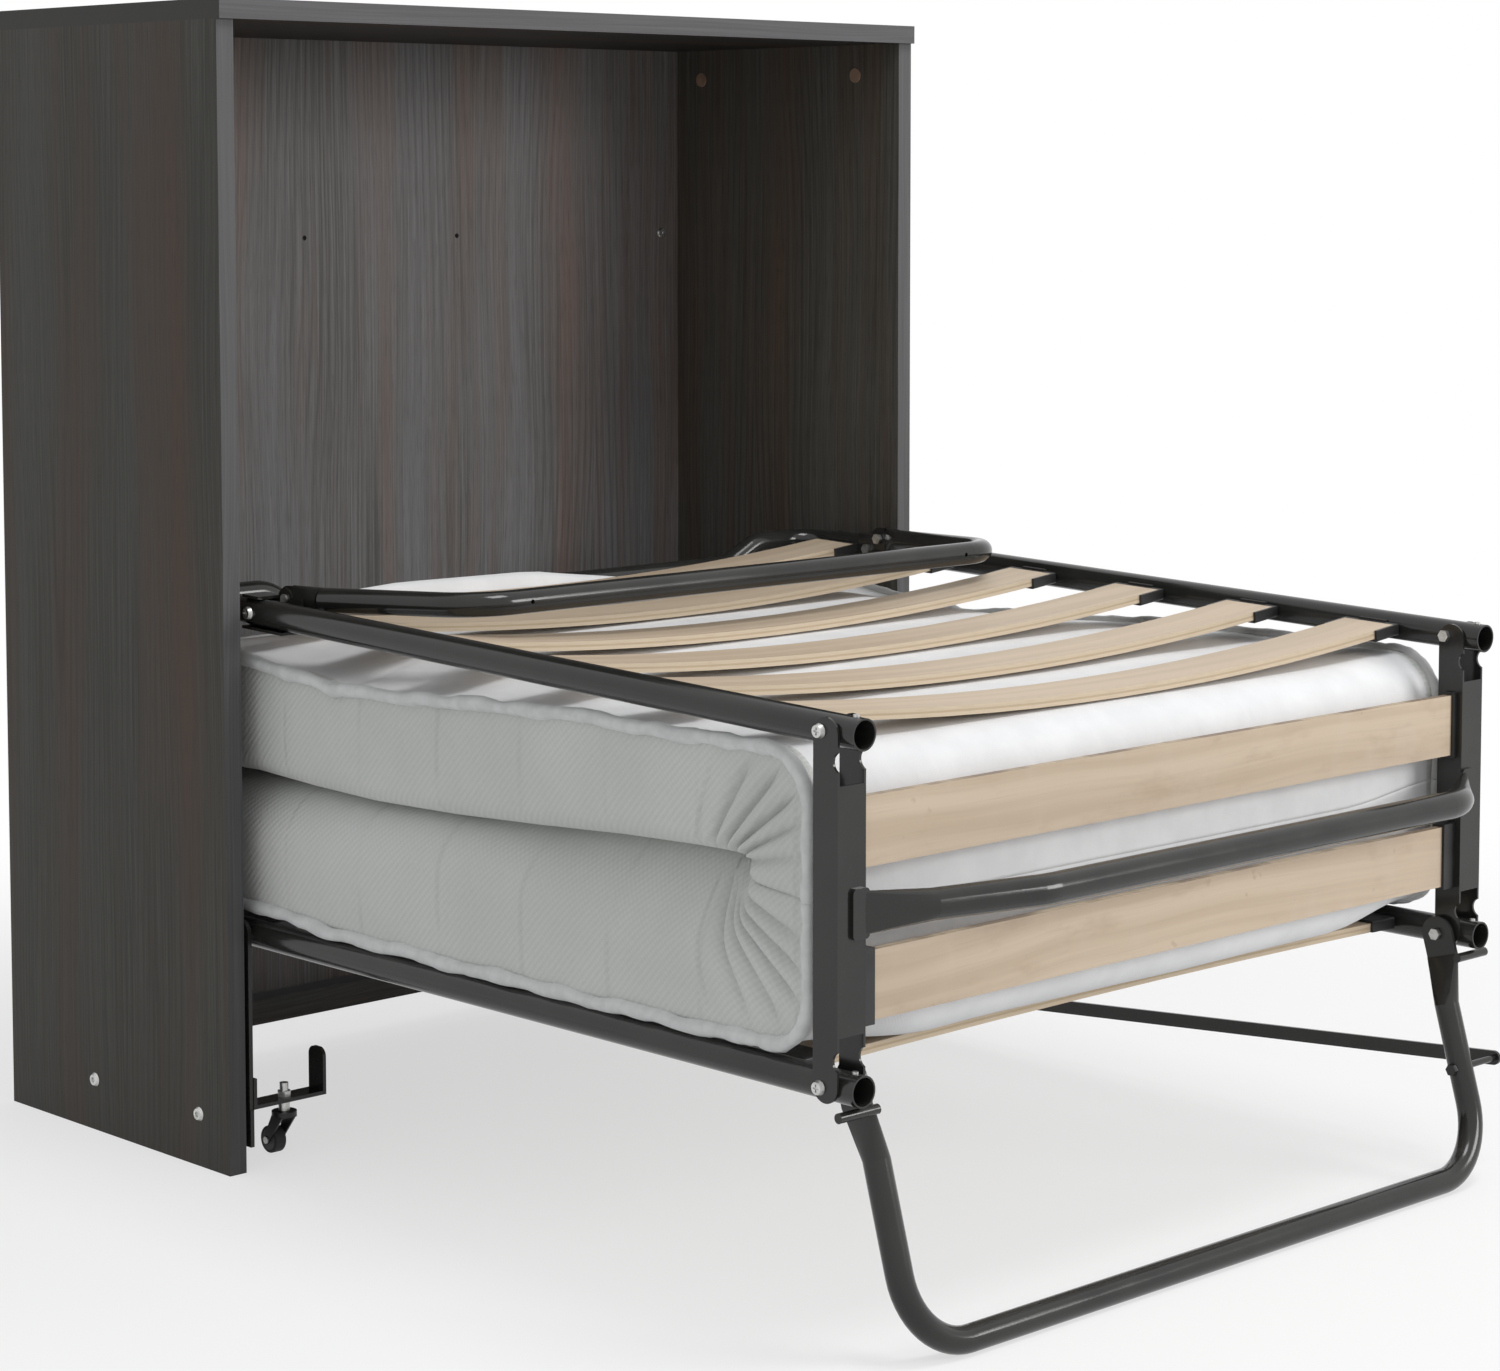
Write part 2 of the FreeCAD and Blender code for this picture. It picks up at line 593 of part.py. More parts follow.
def caster_axle():
    reach = WHEEL_WIDTH / 2 + FORK_SIDE_GAP + FORK_STEEL
    axle_y = CASTER_Y + CASTER_TRAIL
    pin = rod_x(AXLE_R, CASTER_INSET - reach, CASTER_INSET + reach, axle_y, WHEEL_Z)
    for side in (-1.0, 1.0):
        face = CASTER_INSET + side * reach
        pin = pin.fuse(rod_x(AXLE_R * 1.7, face, face + side, axle_y, WHEEL_Z))
    return pin.removeSplitter()


def caster_hub():
    half = WHEEL_WIDTH / 2
    axle_y = CASTER_Y + CASTER_TRAIL
    hub = rod_x(WHEEL_R - TYRE_THICK, CASTER_INSET - half, CASTER_INSET + half, axle_y, WHEEL_Z)
    return hub.cut(rod_x(AXLE_R + RUN_GAP, CASTER_INSET - half, CASTER_INSET + half, axle_y, WHEEL_Z))


def caster_tyre():
    half = WHEEL_WIDTH / 2
    axle_y = CASTER_Y + CASTER_TRAIL
    tyre = rod_x(WHEEL_R, CASTER_INSET - half, CASTER_INSET + half, axle_y, WHEEL_Z)
    rims = [edge for edge in tyre.Edges if edge.Length > WHEEL_R * 3 and edge.BoundBox.XLength < 0.01]
    tyre = tyre.makeFillet(TYRE_THICK * 0.6, rims)
    return tyre.cut(rod_x(WHEEL_R - TYRE_THICK, CASTER_INSET - half, CASTER_INSET + half,
                          axle_y, WHEEL_Z))


# ---------------------------------------------------------------- rails and slats

def straight_rail(hinge, tail_y, holes):
    """Rail along Y from its stub in front of the hinge to tail_y, with cross holes (y, radius)."""
    start = vec(RAIL_X, hinge[0] - STUB_LENGTH, hinge[1])
    end = vec(RAIL_X, tail_y, hinge[1])
    rail = rod_between(RAIL_R, start, end).cut(rod_between(RAIL_R - RAIL_WALL, start, end))
    for y, radius in holes:
        rail = rail.cut(rod_x(radius, RAIL_X - 2 * RAIL_R, RAIL_X + 2 * RAIL_R, y, hinge[1]))
    return rail


def lower_rail():
    tail = PIVOT_BACK + LOWER_RAIL_TAIL
    holes = [(HINGE_LOW[0], HINGE_BOLT_R), (PIVOT_BACK, PIVOT_BOLT_R + RUN_GAP)]
    return straight_rail(HINGE_LOW, tail, holes)


def lower_cross_tube():
    y = LOWER_CROSS_Y
    tube = rod_x(TUBE_R, -RAIL_X, RAIL_X, y, PIVOT_HEIGHT)
    tube = tube.cut(rod_x(TUBE_R - TUBE_WALL, -RAIL_X, RAIL_X, y, PIVOT_HEIGHT))
    for side in SIDES.values():
        start = vec(side * RAIL_X, y - 2 * TUBE_R, PIVOT_HEIGHT)
        end = vec(side * RAIL_X, y + 2 * TUBE_R, PIVOT_HEIGHT)
        tube = tube.cut(rod_between(RAIL_R, start, end))
    return tube


def bowed_slat(mid, width_half, thick, half_length, bow):
    """Sprung slat across X: both faces are arcs; bow is how far its middle stands up."""
    def arc(z_end, z_mid):
        start = vec(-half_length, mid.y - width_half, mid.z + z_end)
        middle = vec(0, mid.y - width_half, mid.z + z_mid)
        end = vec(half_length, mid.y - width_half, mid.z + z_end)
        return Part.Arc(start, middle, end).toShape(), start, end
    low, low_start, low_end = arc(-thick / 2, bow - thick / 2)
    high, high_start, high_end = arc(thick / 2, bow + thick / 2)
    ends = [Part.LineSegment(low_end, high_end).toShape(), Part.LineSegment(high_start, low_start).toShape()]
    outline = Part.Wire(Part.sortEdges([low, ends[0], high, ends[1]])[0])
    return Part.Face(outline).extrude(vec(0, 2 * width_half, 0))


def slat_places(hinge_y):
    return [hinge_y + SLAT_FIRST + index * SLAT_PITCH for index in range(SLAT_COUNT)]


def slat_cap(slat, mid, bow, lid_side, rail_z):
    """Plastic end holder: a tray round the slat's end, and a neck to the rail."""
    end_slope = math.degrees(math.atan2(2 * bow, SLAT_HALF))
    half_wide = SLAT_WIDTH / 2 + CAP_WALL
    x_end = SLAT_HALF + CAP_WALL
    lid = SLAT_THICK / 2 + CAP_BACK
    z_low = -SLAT_THICK / 2 if lid_side > 0 else -lid
    z_high = lid if lid_side > 0 else SLAT_THICK / 2
    tray = box(x_end - CAP_LENGTH, x_end, mid.y - half_wide, mid.y + half_wide,
               mid.z + z_low, mid.z + z_high)
    rims = [edge for edge in tray.Edges if edge.BoundBox.XLength > CAP_LENGTH / 2
            and (edge.BoundBox.ZMin - mid.z) * lid_side > 0]
    tray = tray.makeFillet(CAP_ROUND, rims)
    tray.rotate(vec(SLAT_HALF, mid.y, mid.z), vec(0, 1, 0), end_slope)
    neck = box(x_end - CAP_WALL / 2, RAIL_X, mid.y - half_wide / 2, mid.y + half_wide / 2,
               rail_z - CAP_NECK_HEIGHT / 2, rail_z + CAP_NECK_HEIGHT / 2)
    cap = tray.fuse(neck).removeSplitter()
    rail = rod_between(RAIL_R, vec(RAIL_X, mid.y - SLAT_WIDTH, rail_z),
                       vec(RAIL_X, mid.y + SLAT_WIDTH, rail_z))
    return cap.cut(slat).cut(rail)


def slats_and_caps(hinge, bow, lid_side):
    slats = []
    caps = []
    for y in slat_places(hinge[0]):
        mid = vec(0, y, hinge[1])
        slat = bowed_slat(mid, SLAT_WIDTH / 2, SLAT_THICK, SLAT_HALF, bow)
        slats.append(slat)
        cap = slat_cap(slat, mid, bow, lid_side, hinge[1])
        for side in SIDES.values():
            caps.append(on_side(cap, side))
    return slats, caps


def stub_rivet(hinge):
    place = vec(RAIL_X, hinge[0] - STUB_LENGTH + RIVET_FROM_END, hinge[1] + RAIL_R - RAIL_WALL)
    pin = Part.makeCylinder(RIVET_R, RAIL_WALL + RIVET_HEIGHT, place)
    rail = rod_between(RAIL_R, vec(RAIL_X, hinge[0] - 2 * STUB_LENGTH, hinge[1]),
                       vec(RAIL_X, hinge[0], hinge[1]))
    return pin.cut(rail)


def hinge_bolt(hinge, nut_face):
    """Bolt through a post and its rail: domed head outside, nut inside."""
    y, z = hinge
    head_face = OUTER_FACE_X + SIDE_GAP
    shank = rod_x(HINGE_BOLT_R, nut_face - HINGE_NUT, head_face, y, z)
    head = Part.makeCone(HINGE_HEAD_R, HINGE_HEAD_R - HINGE_HEAD_TAPER, HINGE_HEAD, vec(head_face, y, z), vec(1, 0, 0))
    head = head.cut(recess_x(head_face + HINGE_HEAD, y, z, 1.0))
    nut = hex_x(HINGE_NUT_R, nut_face - HINGE_NUT, nut_face, y, z)
    return shank.fuse(head).fuse(nut).removeSplitter()


# ---------------------------------------------------------------- mid section

def post_flange(x0, x1):
    low = HINGE_LOW[1]
    high = HINGE_HIGH[1]
    mid_y = (POST_REAR_Y + POST_FRONT_Y) / 2
    half = POST_DEPTH / 2
    flange = bar_x(mid_y, low + half - POST_END_MARGIN, mid_y, high - half + POST_END_MARGIN, half, x0, x1)
    for hinge, way in ((HINGE_LOW, 1.0), (HINGE_HIGH, -1.0)):
        flange = flange.cut(rod_x(HINGE_BOLT_R + RUN_GAP, x0, x1, hinge[0], hinge[1]))
        notch_z = hinge[1] + way * NOTCH_FROM_HINGE
        flange = flange.cut(rod_x(NOTCH_R, x0, x1, POST_FRONT_Y - NOTCH_AHEAD, notch_z))
    return flange


def mid_post():
    outer = post_flange(OUTER_FLANGE_X, OUTER_FACE_X)
    inner = post_flange(INNER_FACE_X, INNER_FLANGE_X)
    web = box(INNER_FACE_X, OUTER_FACE_X, POST_FRONT_Y, POST_FRONT_Y + POST_STEEL,
              HINGE_LOW[1] + WEB_END_GAP, HINGE_HIGH[1] - WEB_END_GAP)
    return outer.fuse(inner).fuse(web).removeSplitter()


MID_SLAT_Y = POST_FRONT_Y + MID_SLAT_SETBACK + SLAT_THICK / 2


def mid_slat_at(rise):
    """Slat on edge between the posts, its face to the front."""
    half = INNER_FACE_X - CAP_WALL
    mid = vec(0, 0, 0)
    slat = bowed_slat(mid, SLAT_WIDTH / 2, SLAT_THICK, half, MID_SLAT_BOW)
    slat.rotate(vec(0, 0, 0), vec(1, 0, 0), -90)
    slat.translate(vec(0, MID_SLAT_Y, HINGE_LOW[1] + rise))
    return slat


def mid_slat_cap(rise, length, slat):
    z = HINGE_LOW[1] + rise
    half_wide = SLAT_WIDTH / 2 + CAP_WALL
    y_front = MID_SLAT_Y - SLAT_THICK / 2 - CAP_BACK
    y_rear = MID_SLAT_Y + SLAT_THICK / 2 + CAP_BACK
    cap = box(INNER_FACE_X - length, INNER_FACE_X, y_front, y_rear, z - half_wide, z + half_wide)
    return cap.cut(slat)


def handle_tab(z):
    """Small plate with round corners, flat on the post's web, that the handle's end is welded to."""
    middle_x = RAIL_X - HANDLE_TAB_INWARD
    tab = box(middle_x - HANDLE_TAB_WIDTH / 2, middle_x + HANDLE_TAB_WIDTH / 2,
              POST_FRONT_Y - HANDLE_TAB_STEEL, POST_FRONT_Y,
              z - HANDLE_TAB_HEIGHT / 2, z + HANDLE_TAB_HEIGHT / 2)
    corners = [edge for edge in tab.Edges if edge.BoundBox.YLength > HANDLE_TAB_STEEL / 2]
    return tab.makeFillet(HANDLE_TAB_ROUND, corners)


def handle_end(corner_inward, blend, z):
    """One end of the handle, drawn on the right: start of the round tube, its corner, the pressed end."""
    weld = vec(RAIL_X - HANDLE_WELD_INWARD, POST_FRONT_Y, z)
    corner = vec(RAIL_X - corner_inward, HANDLE_Y, z)
    aim = corner.sub(weld)
    aim.normalize()
    round_at = weld.add(vec(*aim).multiply(blend))
    upright_dir = vec(0, 0, 1)
    across = aim.cross(upright_dir)
    end = pressed_end(round_at, weld, upright_dir, across, HANDLE_R, FLAT_HALF_WIDTH)
    tip = four_arc_ring(weld, upright_dir, across, FLAT_HALF_WIDTH, FLAT_HALF_THICK, FLAT_RING)
    end = end.fuse(Part.Face(tip).extrude(vec(*aim).multiply(-4 * FLAT_HALF_THICK)))
    room = 2 * POST_DEPTH
    end = end.cut(box(weld.x - room, weld.x + room, POST_FRONT_Y, POST_FRONT_Y + room, z - room, z + room))
    return round_at, corner, end.fuse(handle_tab(z))


def handle():
    """Tube across the front of the mid section, its ends pressed flat and welded to the post webs.

    It leaves the left post at a shallow angle and comes back to the right post at a steeper one.
    """
    z = HINGE_LOW[1] + HANDLE_RISE
    right_start, right_corner, right_end = handle_end(HANDLE_RIGHT_CORNER_INWARD, HANDLE_RIGHT_BLEND, z)
    left_start, left_corner, left_end = handle_end(HANDLE_LEFT_CORNER_INWARD, HANDLE_LEFT_BLEND, z)
    points = [right_start, right_corner, vec(-left_corner.x, left_corner.y, z),
              vec(-left_start.x, left_start.y, z)]
    tube = bent_tube(points, HANDLE_BEND, HANDLE_R, TUBE_WALL)
    return tube.fuse(right_end).fuse(mirrored(left_end)).removeSplitter()


# ---------------------------------------------------------------- legs

def u_leg(top_x, pivot, length, corner_x, bend, plate_length, blend, flat_half):
    """U-shaped tube leg hanging straight down from a (y, z) pivot.

    Its ends are pressed into flat ears whose outer faces stand at top_x.
    """
    y, z = pivot
    ear_x = top_x - FLAT_HALF_THICK
    start = vec(top_x - TUBE_R, y, z - plate_length - blend)
    corner = vec(corner_x, y, z - length)
    points = [start, corner, vec(-corner.x, y, corner.z), vec(-start.x, y, start.z)]
    tube = bent_tube(points, bend, TUBE_R, TUBE_WALL)
    flat_at = vec(ear_x, y, z - plate_length)
    end = pressed_end(start, flat_at, vec(0, 1, 0), vec(1, 0, 0), TUBE_R, flat_half)
    half = FLAT_HALF_THICK * FLAT_RING[1]
    ear = bar_x(y, z, y, z - plate_length - 1.0, flat_half * FLAT_RING[0], ear_x - half, ear_x + half)
    ear = ear.common(box(ear_x - half, ear_x + half, y - 2 * flat_half, y + 2 * flat_half,
                         z - plate_length - 1.0, z + 2 * flat_half))
    end = end.fuse(ear)
    end = end.cut(rod_x(HINGE_BOLT_R + RUN_GAP, ear_x - TUBE_R, ear_x + TUBE_R, y, z))
    return tube.fuse(end).fuse(mirrored(end)).removeSplitter()


def front_leg_length():
    """From the hinge to the middle of the tube that stands on the floor."""
    return (HINGE_LOW[1] - TUBE_R) / math.cos(math.radians(LEG_LEAN_DEG))


def front_leg():
    leg = u_leg(LEG_PLATE_X, HINGE_LOW, front_leg_length(), LEG_X, LEG_BEND,
                LEG_PLATE_LENGTH, LEG_BLEND, FLAT_HALF_WIDTH)
    leg = turn_about(leg, HINGE_LOW, -LEG_LEAN_DEG)
    attach, _ = brace_pivot_place()
    return leg.cut(rod_x(BRACE_PIN_R, 0, RAIL_X + RAIL_R, attach[0], attach[1]))


def stop_rod(leg):
    """Short round bar across the front of the leg's ear, close under the rail's stub."""
    rod = rod_x(STOP_ROD_R, RAIL_X - STOP_ROD_INWARD, RAIL_X + STOP_ROD_OUTWARD,
                HINGE_LOW[0] - STOP_ROD_AHEAD, HINGE_LOW[1] - STOP_ROD_DROP)
    pieces = rod.cut(leg).Solids
    return max(pieces, key=lambda piece: piece.Volume)


def brace_bar():
    """Flat bar between bracket and panel, from the bracket's foot to the leg."""
    attach, pivot = brace_pivot_place()
    x0 = BRACE_X
    x1 = BRACE_X + BRACE_STEEL
    bar = bar_x(attach[0], attach[1], pivot[0], pivot[1], BRACE_HEIGHT / 2, x0, x1)
    bar = bar.cut(rod_x(BRACE_PIN_R, x0, x1, attach[0], attach[1]))
    return bar.cut(rod_x(BRACE_PIN_R + RUN_GAP, x0, x1, pivot[0], pivot[1]))


def brace_leg_stud():
    """Stud through the leg's right arm: nut inside, and a collar that ends just short of the brace."""
    attach, _ = brace_pivot_place()
    inner = LEG_X - TUBE_R
    stud = rod_x(BRACE_PIN_R, inner - HINGE_NUT, BRACE_X - SIDE_GAP, attach[0], attach[1])
    nut = hex_x(HINGE_NUT_R, inner - HINGE_NUT, inner, attach[0], attach[1])
    return stud.fuse(nut).removeSplitter()


def brace_bolt():
    """Bolt in the brace's front end, its head on the outer side."""
    attach, _ = brace_pivot_place()
    face = BRACE_X + BRACE_STEEL
    shank = rod_x(BRACE_PIN_R, BRACE_X, face, attach[0], attach[1])
    head = Part.makeCone(BRACE_HEAD_R, BRACE_HEAD_R - 1.0, BRACE_HEAD,
                         vec(face, attach[0], attach[1]), vec(1, 0, 0))
    head = head.cut(recess_x(face + BRACE_HEAD, attach[0], attach[1], 1.0))
    return shank.fuse(head).removeSplitter()


def brace_pivot_pin():
    """Pin in the bracket's foot, with a collar inside the brace and its nut behind the foot."""
    _, pivot = brace_pivot_place()
    shank = rod_x(BRACE_PIN_R, BRACKET_IN_X - HINGE_NUT, INNER_X, pivot[0], pivot[1])
    collar = rod_x(BRACE_HEAD_R, BRACKET_OUT_X, BRACE_X - SIDE_GAP, pivot[0], pivot[1])
    nut = hex_x(HINGE_NUT_R, BRACKET_IN_X - HINGE_NUT, BRACKET_IN_X, pivot[0], pivot[1])
    return shank.fuse(collar).fuse(nut).removeSplitter()


# ---------------------------------------------------------------- upper section, drawn level

def upper_rail():
    clip_y = HINGE_HIGH[0] + UPPER_LEG_FROM_HINGE + CLIP_BOLT_BEHIND
    return straight_rail(HINGE_HIGH, UPPER_RAIL_END,
                         [(HINGE_HIGH[0], HINGE_BOLT_R), (clip_y, HINGE_BOLT_R)])


def upper_end_tube():
    """Tube that joins the rear ends of the upper rails, its middle dipping towards the mattress."""
    z = HINGE_HIGH[1]
    rear_y = UPPER_RAIL_END + END_TUBE_RUN
    high_x = RAIL_X - END_TUBE_INWARD
    low_x = high_x - END_TUBE_SLOPE
    half = [vec(RAIL_X, UPPER_RAIL_END, z), vec(RAIL_X, rear_y, z), vec(high_x, rear_y, z),
            vec(low_x, rear_y, z - END_TUBE_DROP)]
    other = [vec(-point.x, point.y, point.z) for point in reversed(half)]
    return bent_tube(half + other, END_TUBE_BEND, TUBE_R, TUBE_WALL)


def leg_pivot_level():
    return (HINGE_HIGH[0] + UPPER_LEG_FROM_HINGE, HINGE_HIGH[1] + UPPER_LEG_OFFSET)


def leg_clip():
    """Clip round the upper rail: a web on its inner side with an ear, and two tabs over the rail."""
    pivot_y, pivot_z = leg_pivot_level()
    y0 = pivot_y - CLIP_AHEAD
    y1 = pivot_y + CLIP_BEHIND
    z = HINGE_HIGH[1]
    lid = RAIL_R + SIDE_GAP
    x_web = RAIL_X - RAIL_R
    web = box(x_web - CLIP_STEEL, x_web, y0, y1, z - lid - CLIP_STEEL, z + lid + CLIP_STEEL)
    ear = bar_x(pivot_y, z, pivot_y, pivot_z, CLIP_EAR_R, x_web - CLIP_STEEL, x_web)
    top = box(x_web, x_web + CLIP_TAB, pivot_y + CLIP_EAR_R, y1, z + lid, z + lid + CLIP_STEEL)
    bottom = box(x_web, x_web + CLIP_TAB, y0, y1, z - lid - CLIP_STEEL, z - lid)
    clip = web.fuse(ear).fuse(top).fuse(bottom).removeSplitter()
    clip = clip.cut(rod_x(HINGE_BOLT_R, x_web - CLIP_STEEL, x_web, pivot_y, pivot_z))
    return clip.cut(rod_x(HINGE_BOLT_R, x_web - CLIP_STEEL, x_web, pivot_y + CLIP_BOLT_BEHIND, z))


def clip_bolt():
    """Bolt that holds the clip on the rail: head outside, nut inside."""
    pivot_y, _ = leg_pivot_level()
    y = pivot_y + CLIP_BOLT_BEHIND
    z = HINGE_HIGH[1]
    x_web = RAIL_X - RAIL_R - CLIP_STEEL
    head_face = RAIL_X + RAIL_R
    shank = rod_x(HINGE_BOLT_R, x_web - HINGE_NUT, head_face, y, z)
    head = Part.makeCone(HINGE_HEAD_R, HINGE_HEAD_R - HINGE_HEAD_TAPER, HINGE_HEAD, vec(head_face, y, z), vec(1, 0, 0))
    head = head.cut(recess_x(head_face + HINGE_HEAD, y, z, 1.0))
    nut = hex_x(HINGE_NUT_R, x_web - HINGE_NUT, x_web, y, z)
    return shank.fuse(head).fuse(nut).removeSplitter()


def upper_leg_level():
    """Leg of the upper section, folded towards the hinge over the outer side of the slats."""
    pivot = leg_pivot_level()
    top_x = RAIL_X - RAIL_R - CLIP_STEEL - SIDE_GAP
    leg = u_leg(top_x, pivot, UPPER_LEG_LENGTH, RAIL_X - UPPER_LEG_CORNER_INWARD, UPPER_LEG_BEND,
                UPPER_LEG_PLATE_LENGTH, UPPER_LEG_BLEND, UPPER_LEG_FLAT_HALF)
    foot_z = pivot[1] - UPPER_LEG_LENGTH
    hole_x = RAIL_X - UPPER_LEG_HOLE_INWARD
    for x in (-hole_x, hole_x):
        hole = Part.makeCylinder(UPPER_LEG_HOLE_R, TUBE_R, vec(x, pivot[0], foot_z), vec(0, 0, -1))
        leg = leg.cut(hole)
    return turn_about(leg, pivot, -UPPER_LEG_REST_DEG)


def upper_leg_bolt():
    """Pivot bolt of the upper leg: held in the clip's ear, its nut inside the leg."""
    pivot_y, pivot_z = leg_pivot_level()
    x_web = RAIL_X - RAIL_R
    ear_in = x_web - CLIP_STEEL - 2 * SIDE_GAP - 2 * FLAT_HALF_THICK
    shank = rod_x(HINGE_BOLT_R, ear_in - HINGE_NUT, x_web, pivot_y, pivot_z)
    head = rod_x(UPPER_LEG_HEAD_R, x_web, x_web + UPPER_LEG_HEAD, pivot_y, pivot_z)
    nut = hex_x(HINGE_NUT_R, ear_in - HINGE_NUT, ear_in, pivot_y, pivot_z)
    return shank.fuse(head).fuse(nut).removeSplitter()


# ---------------------------------------------------------------- mattress

def split_height(y):
    """Height of the gap between the two layers, which rises to the front."""
    share = (y - MATTRESS_LOWER_TAIL) / (MATTRESS_APEX_Y - MATTRESS_LOWER_TAIL)
    return MATTRESS_SPLIT_REAR_Z + share * (MATTRESS_SPLIT_FRONT_Z - MATTRESS_SPLIT_REAR_Z)


def across(y, half, side_z, middle_z):
    """Edge from left to right: straight, or an arc through a higher or lower middle."""
    start = vec(-half, y, side_z)
    end = vec(half, y, side_z)
    if middle_z is None:
        return Part.LineSegment(start, end).toShape()
    return Part.Arc(start, vec(0, y, middle_z), end).toShape()


def slab_ring(y, half, low, low_middle, high, high_middle):
    """Cross-section of one layer: drawn-in edges, sides that bulge, a sagging or crowned face."""
    edge = half - MATTRESS_SIDE_BULGE
    middle = (low + high) / 2
    right = Part.Arc(vec(edge, y, low), vec(half, y, middle), vec(edge, y, high)).toShape()
    left = Part.Arc(vec(-edge, y, high), vec(-half, y, middle), vec(-edge, y, low)).toShape()
    return Part.Wire([across(y, edge, low, low_middle), right, across(y, edge, high, high_middle), left])


def corner_rise(y):
    """How far the rounded front corner lifts the surface at y."""
    inside = y - (MATTRESS_FRONT + MATTRESS_CORNER)
    if inside >= 0:
        return 0.0
    return MATTRESS_CORNER - math.sqrt(MATTRESS_CORNER ** 2 - inside ** 2)


def slab_stations(tail):
    front = [MATTRESS_FRONT + MATTRESS_CORNER * share for share in (0.08, 0.2, 0.4, 0.65, 1.0)]
    rows = [(y, 0.0) for y in front]
    rows += [(MATTRESS_APEX_Y, 0.0), (MATTRESS_TAIL_LOW_FROM - MATTRESS_CORNER, 0.0),
             (MATTRESS_TAIL_LOW_FROM, 0.0), (MATTRESS_TAIL_LOW_FROM + MATTRESS_TAIL_STEP, 0.0),
             (tail - MATTRESS_TAIL_ROUND, 0.0),
             (tail - MATTRESS_TAIL_ROUND / 3, MATTRESS_TAIL_DRAW / 3), (tail, MATTRESS_TAIL_DRAW)]
    return rows


def mitre(corner_z, way):
    """Corner and direction of the cut between the fold and a layer; way is +1 for the lower one."""
    inset = MATTRESS_CORNER * (1 - math.sqrt(0.5))
    corner = (MATTRESS_FRONT + inset, corner_z + way * inset)
    run = (MATTRESS_APEX_Y - corner[0], MATTRESS_SPLIT_FRONT_Z - corner[1])
    size = math.hypot(run[0], run[1])
    ahead = (run[0] / size, run[1] / size)
    return corner, ahead, (-ahead[1] * way, ahead[0] * way)


def ahead_of_mitre(corner_z, way, back):
    """Block of everything on the fold's side of the mitre, moved back towards the layer."""
    corner, ahead, aside = mitre(corner_z, way)
    reach = 2 * HINGE_SPACING
    low = (corner[0] - ahead[0] * reach - aside[0] * back, corner[1] - ahead[1] * reach - aside[1] * back)
    high = (low[0] + ahead[0] * 2 * reach, low[1] + ahead[1] * 2 * reach)
    points = [low, high, (high[0] + aside[0] * reach, high[1] + aside[1] * reach),
              (low[0] + aside[0] * reach, low[1] + aside[1] * reach)]
    return plate_x(points, -CAB_WIDTH, CAB_WIDTH)


def mattress_lower():
    rings = []
    for y, draw in slab_stations(MATTRESS_LOWER_TAIL):
        rise = corner_rise(y) + draw / 2
        seat = MATTRESS_SEAT_LOW if y < MATTRESS_TAIL_LOW_FROM else MATTRESS_TAIL_LOW
        top = split_height(y) - MATTRESS_LAYER_GAP / 2 - draw / 2
        rings.append(slab_ring(y, MATTRESS_HALF_WIDTH - draw / 2, MATTRESS_SIDE_LOW + rise,
                               seat + rise, top, None))
    return Part.makeLoft(rings, True, True).cut(
        ahead_of_mitre(MATTRESS_SIDE_LOW, 1.0, MATTRESS_MITRE_GAP / 2))


def mattress_upper():
    """Upper layer, pressed under the bowed slats of the tilted upper section."""
    rings = []
    slope = math.tan(math.radians(UPPER_TILT_DEG))
    for y, draw in slab_stations(MATTRESS_UPPER_TAIL):
        drop = corner_rise(y) + draw / 2
        crown = HINGE_HIGH[1] + (y - HINGE_HIGH[0]) * slope - SLAT_THICK / 2 - UPPER_BOW - SOFT_GAP
        if y > MATTRESS_TAIL_LOW_FROM:
            crown = MATTRESS_TAIL_HIGH
        bottom = split_height(y) + MATTRESS_LAYER_GAP / 2 + draw / 2
        rings.append(slab_ring(y, MATTRESS_HALF_WIDTH - draw / 2, bottom, None,
                               MATTRESS_SIDE_HIGH - drop, crown - drop))
    return Part.makeLoft(rings, True, True).cut(
        ahead_of_mitre(MATTRESS_SIDE_HIGH, -1.0, MATTRESS_MITRE_GAP / 2))


def fold_ring(x, draw):
    """Section of the fold along Y and Z: a block with two rounded front corners."""
    r = MATTRESS_CORNER - draw
    front = MATTRESS_FRONT + draw
    low = MATTRESS_SIDE_LOW + draw / 2
    high = MATTRESS_SIDE_HIGH - draw / 2
    bend = r * (1 - math.sqrt(0.5))
    rear = MATTRESS_APEX_Y + MATTRESS_CORNER
    edges = [Part.LineSegment(vec(x, rear, low), vec(x, front + r, low)).toShape(),
             Part.Arc(vec(x, front + r, low), vec(x, front + bend, low + bend),
                      vec(x, front, low + r)).toShape(),
             Part.LineSegment(vec(x, front, low + r), vec(x, front, high - r)).toShape(),
             Part.Arc(vec(x, front, high - r), vec(x, front + bend, high - bend),
                      vec(x, front + r, high)).toShape(),
             Part.LineSegment(vec(x, front + r, high), vec(x, rear, high)).toShape(),
             Part.LineSegment(vec(x, rear, high), vec(x, rear, low)).toShape()]
    return Part.Wire(edges)


